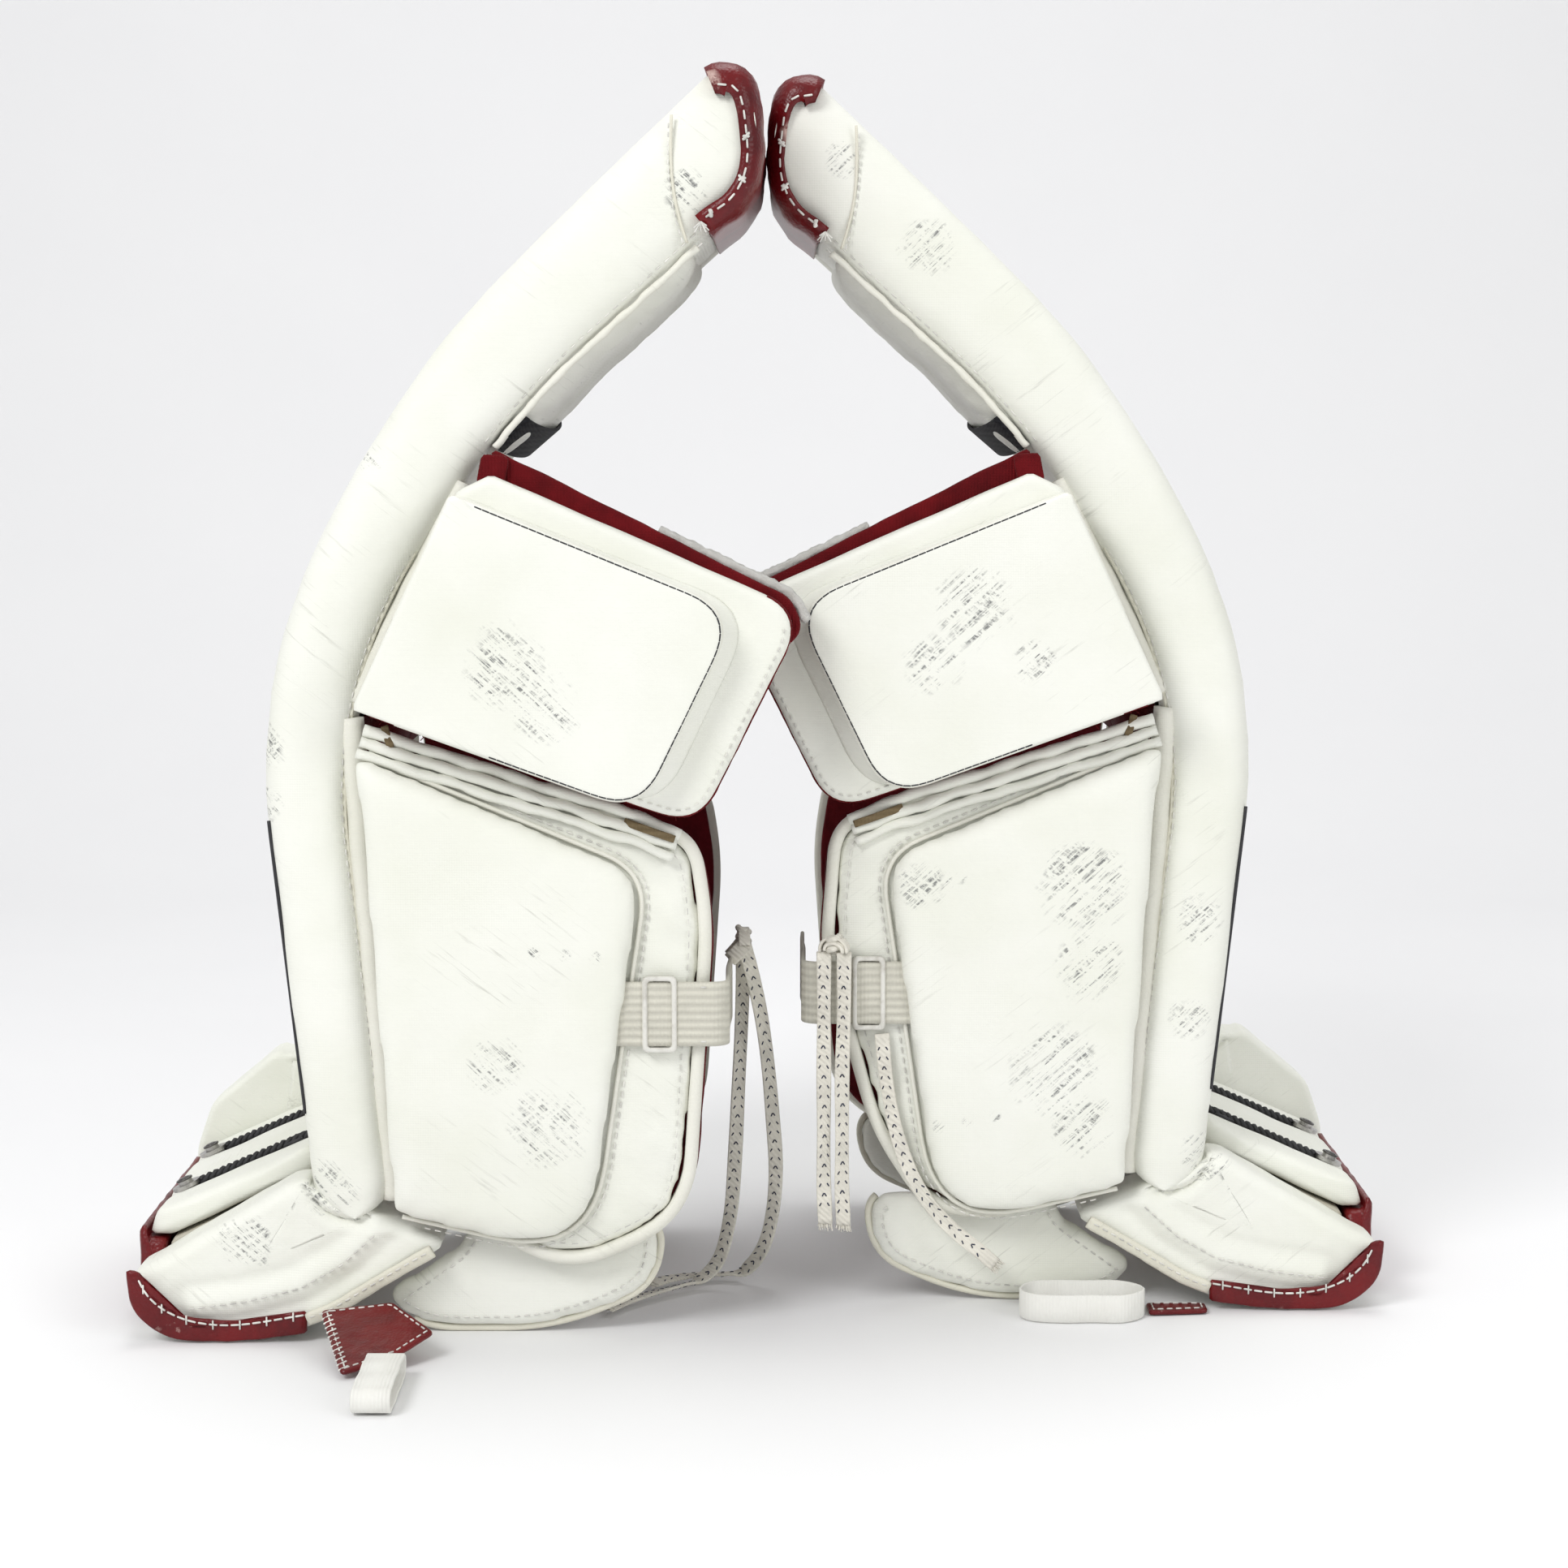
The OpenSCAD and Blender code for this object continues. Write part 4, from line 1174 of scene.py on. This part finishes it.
def make_wing(side, name, corners, way):
    """One wing: a padded cover, a soft edge, a seam and its dark lining behind."""
    body = f"{name}_wing"
    turned = lambda shape: (shape[0] * [1, way, 1], [tuple(reversed(f)) if way < 0 else f for f in shape[1]])
    thin = rounded([[x + (1.5 if x < 100 else -0.5), z + (0 if z > 200 else 1.5), r] for x, z, r in corners])
    shape = swell(pillow(thin, -138.4, -129.5, 4, 4, rings=20), 6.0, 4.0, 3.2)
    across = lambda p: np.array([noise.noise(Vector(((a + 0.5 * c) / 60, 3, (c - 0.8 * a) / 13))) for a, _,
                                 c in p])
    points, faces = shape
    points = lift(points, point_normals(points, faces),
                  1.3 * across(points) * np.clip((130 - points[:, 0]) / 60, 0, 1))
    points, faces = crumple(crumple((points, faces), 1.0, 32, 5), 0.5, 11, 8)
    points[:, 1] = np.clip(points[:, 1], -141.6, -126.4)
    add(f"{name}_wing_cover", side, turned((points, faces)), WHITE, body, "white_leatherette",
        replaces=[body], fill=0.5)
    outline = rounded(corners)
    edge = part_of(ring_inside(outline, 1.0, -133.5), lambda p: p[0] < 150 and p[2] < 330)
    add(f"{name}_wing_edge", side, turned(edge_wrap(edge)), CLEAN, body, "white_leatherette")
    seam = part_of(ring_inside(outline, 12.0, -141.0), lambda p: p[0] < 185)
    add(f"{name}_wing_seam", side, turned(running_stitch(seam, 3.4, 3.2, 0.35)), THREAD, body,
        "white_leatherette")
    inner = pillow(rounded([[x - ((2.2 if way > 0 else -3) if x < 100 else 6), z + (4 if z < 120 else -3),
                             r] for x, z, r in corners]),
                   -128.0, -125.6, 1, 1, detail=soft_dents(4, 0.6, 14))
    add(f"{name}_wing_lining", side, turned(crumple(inner, 0.5, 15, 2)), LINER, body, "liner")


def make_wings():
    for side in SIDES:
        make_wing(side, "calf", WING if side == "right" else NARROW_WING, 1)
        make_wing(side, "outer", WING, -1)


def edge_wrap(line):
    """A thin soft edge that turns round a wing's free side."""
    line = respaced(line, 3)
    t = np.gradient(line, axis=0)
    t /= np.linalg.norm(t, axis=1)[:, None]
    centre = np.array([130, line[0][1], 200])
    rings = []
    for i, p in enumerate(line):
        n = np.cross(t[i], [0, 1, 0])
        n = n if n @ (p - centre) > 0 else -n
        profile = [(-5.4, -3), (-5.0, -0.2), (-2.6, 2.0), (2.6, 2.2), (5.4, 0.2), (6.2, -5), (5.4, -6),
                   (-4.6, -5)]
        rings.append([[p[0] + n[0] * d, p[1] - 2.2 + 0.9 * y, p[2] + n[2] * d] for y, d in profile])
    return loft(rings)


def make_wing_folds():
    """Rolled layers of cover along the wing's top edge, under the knee block."""
    base = np.array([[226, 361], [180, 347], [130, 331], [80, 315], [44, 301]], float)
    for k, (drop, y, r,
            seed) in enumerate(((0, -140, 3.6, 1), (-6.5, -142.5, 3.4, 4), (-13, -143.5, 3.0, 8))):
        route = [[x + 2 * k, y, z + drop] for x, z in base]
        line = smooth_path(route, 4)
        line += 1.7 * np.stack([0 * line[:, 0], rough(line, 17, seed), rough(line, 22, seed + 3)], axis=1)
        both(f"wing_fold_{k}", crumple(crumple(tube(line, r, sides=14), 1.0, 11, seed), 0.5, 5, seed + 2),
             WHITE, "calf_wing", "white_leatherette")
    flat = [[76, -143.5, 309], [62, -147.6, 304.5], [47, -145.5, 299]]
    upright = [[214, -141, 364], [212, -143.4, 358], [210, -144.5, 352]]
    bits = [ribbon(smooth_path(route, 2), w, 1.6, (0, -1, 0)) for route, w in ((flat, 4.5), (upright, 4.5))]
    both("wing_tags", merge(*bits), TAN_WEB, "calf_wing", "webbing")


def make_hinge_webs():
    """Soft covers over the seams between the rolls and what folds on them."""
    lower = np.array([[231, 0, 368], [226, 0, 290], [219, 0, 200], [209, 0, 84]], float)
    upper = np.array([[164, 0, 503], [196, 0, 440], [228, 0, 377]], float)
    for name, route, y, seed, body in (("calf_web", lower, -129, 2, "calf_wing"),
                                       ("knee_web", upper, -127, 5, "knee_block"),
                                       ("outer_web", lower, 129, 8, "outer_wing")):
        line = smooth_path(route + [3.0, y, 0], 4)
        out = unit([line[0][2] - line[-1][2], 0, line[-1][0] - line[0][0]]) * 5
        middle = line[len(line) // 2]
        line[:, [0, 2]] += 0.7 * np.stack([rough(line, 24, seed), rough(line, 24, seed + 2)], axis=1)
        both(name, crumple(tube(line, 7.2, sides=20), 0.4, 13, seed), CLEAN, "shin", "white_leatherette",
             blend_to=(body, [middle + out], [middle - out]))


def make_landing():
    outline = rounded(LANDING)
    small = rounded([[x + (1.2 if x < 120 else -1), z, r] for x, z, r in LANDING])
    shape = swell(pillow(small, -153.0, -143, 4.5, 2.5, rings=22), 5.0, 3.5, 2.0)
    points, faces = crumple(shape, 0.9, 38, 12)
    points[:, 1] = np.clip(points[:, 1], -155.4, -140.9)
    both("landing_cover", (points, faces), WHITE, "calf_wing", "white_leatherette", replaces=["calf_landing"],
         fill=0.85)
    bead = part_of(ring_inside(outline, 0.8, -143.4), lambda p: p[0] < 208)
    both("landing_piping", tube(respaced(bead, 3), 1.5), CLEAN, "calf_wing", "white_leatherette")
    seam = part_of(ring_inside(outline, -3.2, -142.2), lambda p: p[0] < 200)
    both("landing_stitches", running_stitch(seam, 3.2, 3.0, 0.5), THREAD, "calf_wing", "white_leatherette")


def make_strap():
    """Webbing from beside the landing, through the slide and back round the wing's free edge."""
    z = STRAP_Z + STRAP_W / 2
    turn = [[26 + 9.4 * math.cos(a), -137 + 9.4 * math.sin(a),
             z] for a in np.radians(np.linspace(265, 185, 8))]
    route = [[88, -146.2, z], [76, STRAP_Y + 1.2, z], [66, STRAP_Y + 1.1, z], [50, STRAP_Y + 1.2, z],
             [36, STRAP_Y + 1.2, z]]
    route += turn + [[16.8, -125, z], [17.2, -90, z], [16.4, -60, z], [16.8, -31, z]]
    line = smooth_path(route, 2.0)
    both("calf_strap_web", ribbon(line, STRAP_W, 2.4, frames(line, (0, 0, 1))[1]), WEB, "calf_wing",
         "webbing",
         replaces=["calf_strap"])
    rows = []
    for off in (-STRAP_W / 2 + 3, STRAP_W / 2 - 3):
        low = np.array([[x, STRAP_Y - 0.35, z + off] for x in np.linspace(27, 36, 8)])
        rows.append(running_stitch(low, 2.6, 2.2, 0.5))
    both("strap_stitches", merge(*rows), THREAD, "calf_wing", "webbing")
    for side in SIDES:
        long = LACES[(side, "lace_long")]
        short = LACES[(side, "lace_short")]
        a, b = np.array(long[0], float), np.array(short[0], float)
        low = np.array([16.6, a[1], 214.0]) if side == "right" else np.array([a[0], -151.4, 216.0])
        low_b = np.array([16.6, b[1], 214.0]) if side == "right" else np.array([b[0], -151.4, 216.0])
        loops = [ribbon(smooth_path([p, (p + q) / 2 + [0, -1.5, 0], q], 2), LACE_W, 1.8, (0.2, -1, 0)) for p,
                 q in ((low, a), (low_b, b))]
        middle = (a + b) / 2 + [0, 0.5, 1.5]
        reach = np.linalg.norm(b - a) / 2 + 2.5
        for k in (0, 1):
            turn = np.linspace(-0.2, math.pi + 0.2, 18)
            across = unit(b - a)
            arch = [middle + across * reach * (0.95 - 0.25 * k) * math.cos(t)
                    + np.array([0, -1.6 * k - 0.6 * math.sin(2 * t), 0])
                    + np.array([0, 0, 1]) * (7.5 - 2.5 * k) * math.sin(t) for t in turn]
            loops.append(ribbon(np.array(arch), LACE_W * 0.8, 1.9, np.array(arch) - middle + [0, 0, 0.01]))
        wrap = [middle + np.array([3.2 * math.cos(t), 3.4 * math.sin(t), -3.0 + 0.9 * t])
                for t in np.linspace(0, 4 * math.pi, 40)]
        loops.append(tube(np.array(wrap), 2.0, up=(0, 0, 1)))
        add("lace_roots", side, merge(*loops), LACE, "calf_wing", "lace")


def make_slide():
    """A moulded slide: a frame with a middle bar behind the webbing."""
    z, y = STRAP_Z + STRAP_W / 2, STRAP_Y + 1.25
    outer = rounded([[66, z + 22.4, 3.5], [46, z + 22.4, 3.5], [46, z - 22.4, 3.5], [66, z - 22.4, 3.5]], 2)
    hole = rounded([[63, z + 19.6, 1.5], [49, z + 19.6, 1.5], [49, z - 19.6, 1.5], [63, z - 19.6, 1.5]], 2)
    n = max(len(outer), len(hole))
    outer, hole = (respaced(np.array(o), 1.0, closed=True) for o in (outer, hole))
    n = min(len(outer), len(hole))
    pick = lambda o: o[np.round(np.linspace(0, len(o), n, endpoint=False)).astype(int)]
    outer, hole = pick(outer), pick(hole)
    mid = (outer + hole) / 2
    levels = [(outer, y + 0.9), (outer, y - 2.2), (mid + (outer - mid) * 0.6, y - 3.1),
              (mid - (outer - mid) * 0.6, y - 3.1), (hole, y - 2.2), (hole, y + 0.9)]
    rings = [np.stack([o[:, 0], np.full(n, h), o[:, 1]], axis=1) for o, h in levels]
    frame_shape = loft(np.array(rings), closed=True)
    bar = ribbon(np.array([[56, y + 2.6, z + k] for k in np.linspace(-21.5, 21.5, 20)]), 8, 2.2, (0, -1, 0))
    both("slide_frame", merge(frame_shape, bar), PLASTIC, "calf_slide", "plastic_slide",
         replaces=["calf_slide"])


# --- Boot ---
ARC_R = FOOT_SAG + 1.8


def boot_arc(a0, a1, r=ARC_R, n=14):
    return [KNUCKLE + r * np.array([math.cos(a), math.sin(a)]) for a in np.radians(np.linspace(a0, a1, n))]


def free_line(rise, up):
    """A point on the boot's edge in front of the shin, clear of it at full toe-up."""
    a = LEAN_SHIN - math.radians(12)
    out, along = np.array([math.cos(a), math.sin(a)]), np.array([-math.sin(a), math.cos(a)])
    return KNUCKLE + (FOOT_SAG + rise + 1.8) * out + up * along


def boot_side_outline():
    edge = rounded([[272, 95, 4], [369, 38, 8], [366, 20, 30], [345, 3.5, 90], [303, 0.6, 400], [263, 6, 60],
                    [233, 25, 60],
                    [180, 58, 6], [204, 68, 4]], 4)
    start = int(np.argmin(np.linalg.norm(edge - [268, 97], axis=1)))
    edge = np.roll(edge, -start, axis=0)
    return respaced(np.concatenate([boot_arc(-114, -6), edge]), 4, closed=True)


def boot_outer_outline():
    edge = rounded([[316, 128, 8], [360, 92, 16], [371, 60, 30], [367, 22, 40], [345, 3.5, 90],
                    [303, 0.6, 400], [263, 6, 60],
                    [228, 25, 10], [190, 50, 8]], 4)
    start = int(np.argmin(np.linalg.norm(edge - [312, 126], axis=1)))
    edge = np.roll(edge, -start, axis=0)
    rear = boot_arc(-110, math.degrees(LEAN_SHIN) - 12, FOOT_SAG + 16 + 1.8)
    return respaced(np.concatenate([rear, [free_line(16, 45)], edge]), 4, closed=True)


def fold_ridge(x, z):
    """The soft ridge that runs from the heel end round to the toe on the boot's inner side."""
    line = np.array([[219, 71], [240, 51], [268, 34], [300, 26], [330, 22]])
    best = np.min([np.hypot(x - a, z - b) for a, b in respaced(line, 3)], axis=0)
    return 2.2 * np.exp(-((best / 6.5) ** 2)) - 1.5 * np.exp(-(((best - 11) / 4.5) ** 2))


def make_boot_side():
    outline = boot_side_outline()
    centre = (292, 48)
    shape = pillow(outline, -139.2, -96.5, 8, 3, crown=0.5, centre=centre, rings=40,
                   detail=lambda x, z, d: fold_ridge(x, z) * np.clip(d / 9, 0, 1) - 1.6)
    both("boot_side_cover", crumple(crumple(shape, 0.8, 28, 14), 0.35, 9, 3), WHITE, "boot",
         "white_leatherette",
         replaces=["boot_side"], fill=0.85)
    path = respaced(np.array([[222, 66], [244, 46], [268, 32.5], [300, 24.5], [334, 20]]), 2)
    rows = np.stack([path[:, 0], np.full(len(path), -141.2), path[:, 1]], axis=1)
    both("boot_side_stitches", running_stitch(rows, 3.2, 3.0, 0.5), THREAD, "boot", "white_leatherette")
    outer = boot_outer_outline()
    shell = pillow(outer, -139.6, -96.5, 10, 4, crown=0.5, centre=(315, 55), rings=30,
                   detail=soft_dents(6, 1.0, 26))
    shell = (shell[0] * [1, -1, 1], [tuple(reversed(f)) for f in shell[1]])
    both("boot_outer_cover", crumple(shell, 0.6, 24, 5), WHITE, "boot", "white_leatherette",
         replaces=["boot_outer"], fill=0.85)
    seam = ring_inside(outer, 7.0, 139.9)
    both("boot_outer_stitches", running_stitch(seam[: len(seam) * 2 // 3], 3.2, 3.0, 0.5), THREAD, "boot",
         "white_leatherette")


def bar(corners, y0, y1, r=3.0, across=26, crown=0.0):
    """A padded bar with an XZ section, along Y, rounded at its ends."""
    outline = respaced(np.array(corners, float), 3, closed=True)
    c = outline.mean(0)
    rings = []
    for t in np.linspace(-1, 1, across):
        edge = min(1.0, (1 - abs(t)) * abs(y1 - y0) / 2 / r)
        k = 1 - (1 - math.sqrt(1 - (1 - edge) ** 2)) * r / 16
        out = c + (outline - c) * (k + crown * (1 - t * t) / 16)
        rings.append(np.stack([out[:, 0], np.full(len(out), (y0 + y1) / 2 + (y1 - y0) / 2 * t), out[:, 1]],
                              axis=1))
    return loft(rings)


def make_boot_face():
    panel = [free_line(0, 4), free_line(0, 18), (361, 66), (366, 52), (352.6, 51.5)]
    smooth_panel = rounded([[*free_line(0, 4), 3], [*free_line(0, 18), 6], [361, 66, 6], [365.5, 52, 2],
                            [352.6, 52, 2]], 3)
    for name, y0, y1 in (("inner", -95.3, -50.2), ("middle", -43.8, 43.8), ("outer", 50.2, 95.3)):
        both(f"boot_face_{name}", crumple(bar(smooth_panel, y0, y1, 9, crown=0.15), 0.6, 24, y0), WHITE,
             "boot",
             "white_leatherette", replaces=["boot_face"] if name == "middle" else (), fill=0.9)
    top, toe = np.array(panel[1]), np.array(panel[2])
    braid = []
    slits = []
    for y in (-47, 47):
        for turn in (0, math.pi):
            line = []
            for t in np.linspace(0.02, 0.80, 60):
                p = top + (toe - top) * t
                spin = t * 70 + turn
                line.append([p[0] + 0.7 * math.cos(spin), y + 1.7 * math.cos(spin),
                             p[1] + 0.6 + 1.5 * math.sin(spin)])
            braid.append(tube(np.array(line), 1.7, sides=6))
        for off in (-6, 6):
            p, q = top + (toe - top) * 0.10, top + (toe - top) * 0.22
            slits.append(tube(np.array([[p[0], y + off * 1.6, p[1] + 0.6],
                                        [(p[0] + q[0]) / 2, y + off * 1.6, (p[1] + q[1]) / 2 + 0.9],
                                        [q[0], y + off * 1.6, q[1] + 0.6]]), 1.1))
    both("groove_cords", merge(*braid), BRAID, "boot", "lace")
    both("face_slits", merge(*slits), PIPING, "boot", "white_leatherette")
    line = np.array([[*(top + (toe - top) * t)] for t in np.linspace(0.02, 0.93, 20)])[:, [0, 0, 1]] * [1, 0, 1]
    floor = [ribbon(line + [0, y, -7.5], 7.5, 2, (0.42, 0, 0.9)) for y in (-47, 47)]
    both("groove_floors", merge(*floor), PIPING, "boot", "white_leatherette")


def make_boot_board():
    outline = respaced(np.concatenate([boot_arc(-110, -14),
                                       [[352, 50], [354, 36], [345, 6], [335, 0.6], [300, 0.6], [262, 34]]]),
                                       4, closed=True)
    shape = pillow(outline, -94.4, 94.4, 2.5, 2.5, rings=14)
    both("boot_board_cover", crumple(shape, 0.4, 30, 2), FOAM, "boot", "foam_board", replaces=["boot_board"])


def make_boot_binding():
    toe = rounded([[367.5, 60, 2], [371, 56, 2.5], [371, 26, 8], [352, 2, 3], [347.5, 4, 1], [356.5, 35, 4],
                   [354.5, 50, 1], [367, 50.5, 1]], 2.5)
    shape = crumple(bar(toe, -95.3, 95.3, 2.5, 60), 0.5, 13, 6)
    low = rounded([[370, 44, 2], [368, 19, 40], [346, 1.5, 90], [303, 0.6, 400], [264, 6, 2], [264, 19.5, 2],
                   [303, 12.5, 400],
                   [340, 16, 90], [358, 30, 40], [363, 43, 2]], 2.5)
    band = crumple(pillow(low, -143.4, -140.4, 1.4, 0.6, rings=10, centre=(330, 10)), 0.35, 9, 2)
    both("toe_leather", merge(shape, band), RED, "boot", "red_leather", replaces=["boot_binding"])
    along = np.array([[264, 17.6], [303, 11.6], [328, 12.8], [346, 19.5], [357, 29], [363, 40]], float)
    line = respaced(smooth_path([[x, -144.2, z] for x, z in along], 2), 2)
    ticks = []
    for p in line[4::8]:
        ticks.append(stitch(p + [0, 0, -2.6], p + [0, 0, 2.4], 0.55))
    both("toe_stitches", merge(running_stitch(line, 4.4, 2.0, 0.6), *ticks), THREAD, "boot", "red_leather")
    across = np.array([[371.3, y, 53 + 0.8 * math.sin(y / 9)] for y in np.linspace(-93, 93, 120)])
    lower = across * [1, 1, 0] + [0, 0, 29]
    both("toe_rows", merge(running_stitch(across, 3.4, 2.6, 0.5), running_stitch(lower, 3.4, 2.6, 0.5)),
         THREAD, "boot", "red_leather")
    edge = smooth_path([[264, -141, 14], [249, -141, 20], [232, -141, 30], [210, -141, 43.5],
                        [190, -141, 55]], 3)
    both("boot_edge_band", crumple(ribbon(edge, 8, 4, (0.3, -1, -0.4)), 0.4, 8, 5), CREAM, "boot",
         "white_leatherette")
    both("edge_band_stitches", running_stitch(edge + [0.6, -2.3, 0.8], 3.0, 2.8, 0.5), THREAD, "boot",
         "white_leatherette")


def make_flaps():
    outline = rounded([[168, 74, 6], [178, 54, 20], [226, 20, 12], [196, 1.5, 60], [120, 1.5, 260],
                       [60, 27, 90], [53, 69, 22]])
    shape = swell(pillow(outline, -122.0, -108.5, 5, 5, rings=16), 6.0, 4.5, 2.0)
    points, faces = crumple(shape, 1.4, 26, 17)
    points[:, 1] = np.clip(points[:, 1], -123.4, -105.5)
    points[:, 2] = np.maximum(points[:, 2], 0.4)
    pair = merge((points, faces), (points * [1, -1, 1], [tuple(reversed(f)) for f in faces]))
    both("boot_flap_cover", pair, WHITE, "boot", "white_leatherette", replaces=["boot_flap"], fill=0.45)
    seam = part_of(ring_inside(outline, 9, -123.5), lambda p: p[2] < 60 and p[0] < 215)
    edge = part_of(ring_inside(outline, 0.8, -116), lambda p: p[2] < 66 and p[0] < 205)
    hem = tube(respaced(edge, 3), 2.2, sides=10)
    rows = running_stitch(seam, 3.0, 3.0, 0.5)
    mirror = lambda s: (s[0] * [1, -1, 1], [tuple(reversed(f)) for f in s[1]])
    both("flap_hem", merge(hem, mirror(hem)), CREAM, "boot", "white_leatherette")
    both("flap_stitches", merge(rows, mirror(rows)), THREAD, "boot", "white_leatherette")


# --- Toe tabs and elastic loops ---
TABS = {"right": [[254, -9], [213, 0], [186, -32], [204, -56], [234, -76]],
        "left": [[262, -152], [226, -156], [226, -136], [262, -136]]}
TAB_FOOT = {"right": (-145.0, 23.0, math.radians(16)), "left": (0.0, 0.5, 0.0)}


def on_tab(side, x, d, h):
    """A tab's own x, distance out and height, in the pad frame."""
    y0, z0, slope = TAB_FOOT[side]
    return np.stack([x, y0 + d * math.cos(slope) - h * math.sin(slope),
                     z0 + d * math.sin(slope) + h * math.cos(slope)], axis=1)


def make_tab(side):
    flat = rounded([[x, y, 3] for x, y in TABS[side]], 2)
    points, faces = crumple(pillow(flat, -3.0, -0.2, 1.1, 0.9, rings=14, detail=soft_dents(2, 0.7, 9)), 0.25,
                            7, 3)
    shape = facing_out(on_tab(side, points[:, 0], points[:, 2], -points[:, 1]), faces)
    add("tab_leather", side, shape, RED, "toe_tab", "red_leather", replaces=["toe_tab"])
    inside = ring_inside(flat, 3.0, 0)
    line = on_tab(side, inside[:, 0], inside[:, 2], np.full(len(inside), 3.3))
    rows = [running_stitch(np.concatenate([line, line[:1]]), 3.0, 2.6, 0.5)]
    if side == "right":
        a, b = np.array([254.0, -9.0]), np.array([234.0, -76.0])
        across = np.array([0.958, -0.286])
        edge = respaced(np.array([a + (b - a) * t for t in (0.06, 0.94)]), 5.0)
        whip = [np.stack([p + across * 0.6, p - across * 4.5 + [0, 1.5]]) for p in edge]
        rows += [stitch(*on_tab(side, w[:, 0], w[:, 1], np.array([2.2, 3.3])), 0.6) for w in whip]
    add("tab_stitches", side, merge(*rows), THREAD, "toe_tab", "red_leather")


def ring_band(length, high, wide, thick):
    """A flattened ring of elastic around Z, from its end at the origin along +X."""
    r = high / 2
    line = [[r - r * math.cos(a), -r * math.sin(a), 0] for a in np.linspace(-math.pi / 2, math.pi / 2, 16)]
    line += [[length - r + r * math.sin(a), -r * math.cos(a), 0] for a in np.linspace(0, math.pi, 16)]
    line = respaced(np.array(line), 2.5, closed=True)
    t = np.roll(line, -1, axis=0) - np.roll(line, 1, axis=0)
    t /= np.linalg.norm(t, axis=1)[:, None]
    n = np.cross(t, [0, 0, 1])
    rings = []
    for i, p in enumerate(line):
        wave = 0.5 * math.sin(i * 0.55)
        section = [(-thick / 2, 0.6), (-thick / 2, wide / 2), (-thick / 2, wide - 0.6), (0, wide),
                   (thick / 2, wide - 0.6), (thick / 2, wide / 2), (thick / 2, 0.6), (0, 0)]
        rings.append([p + n[i] * (d + wave) + [0, 0, h] for d, h in section])
    return loft(rings, closed=True)


def make_loops():
    points, faces = ring_band(76, 12.6, 22, 1.7)
    shape = (np.stack([198 + points[:, 2], -210 - points[:, 0], 8 + points[:, 1]], axis=1), faces)
    add("loop_band", "right", facing_out(*shape), ELASTIC, "toe_tab", "elastic", replaces=["boot_loop"])
    points, faces = ring_band(74, 34.4, 17, 1.7)
    shape = (points + [148, -154, 0.6], faces)
    add("loop_band", "left", facing_out(*shape), ELASTIC, "toe_tab", "elastic", replaces=["boot_loop"])


def dress_bolts():
    """The washers keep their CAD shape; a dark stepped screw head sits on each."""
    top, toe = free_line(0, 18), np.array([361.0, 66.0])
    along = unit(toe - top)
    up = np.array([-along[1], along[0]])
    up = up if up[1] > 0 else -up
    heads = []
    for y in (-47.0, 47.0):
        centre = toe - along * 12
        for low, high, r in ((4.9, 6.0, 5.2), (5.9, 6.5, 3.4)):
            rings = []
            for h in (low, high - 0.3, high):
                k = r if h < high else r - 0.5
                rings.append([[*(centre + up * h + along * k * math.cos(a)),
                               y + k * math.sin(a)] for a in np.linspace(0, 2 * math.pi, 28, endpoint=False)])
            rings = np.array(rings)[:, :, [0, 2, 1]]
            heads.append(loft(rings))
    both("bolt_heads", merge(*heads), DARK_STEEL, "boot", "bolt_steel")
    for side in SIDES:
        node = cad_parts[f"{side}_boot_bolts"]
        node.data.materials.clear()
        node.data.materials.append(STEEL)


def main():
    make_camera()
    make_floor()
    make_light()
    for (side, name), route in LACES.items():
        make_lace(side, name, route)
    make_rolls()
    make_roll_seams()
    make_board()
    for side in SIDES:
        make_cap(side)
        make_tab(side)
    make_end_seam()
    make_thigh_back()
    make_channel()
    make_knee_block()
    make_wings()
    make_wing_folds()
    make_hinge_webs()
    make_landing()
    make_strap()
    make_slide()
    make_boot_side()
    make_boot_face()
    make_boot_board()
    make_boot_binding()
    make_flaps()
    make_loops()
    dress_bolts()


main()
low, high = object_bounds()
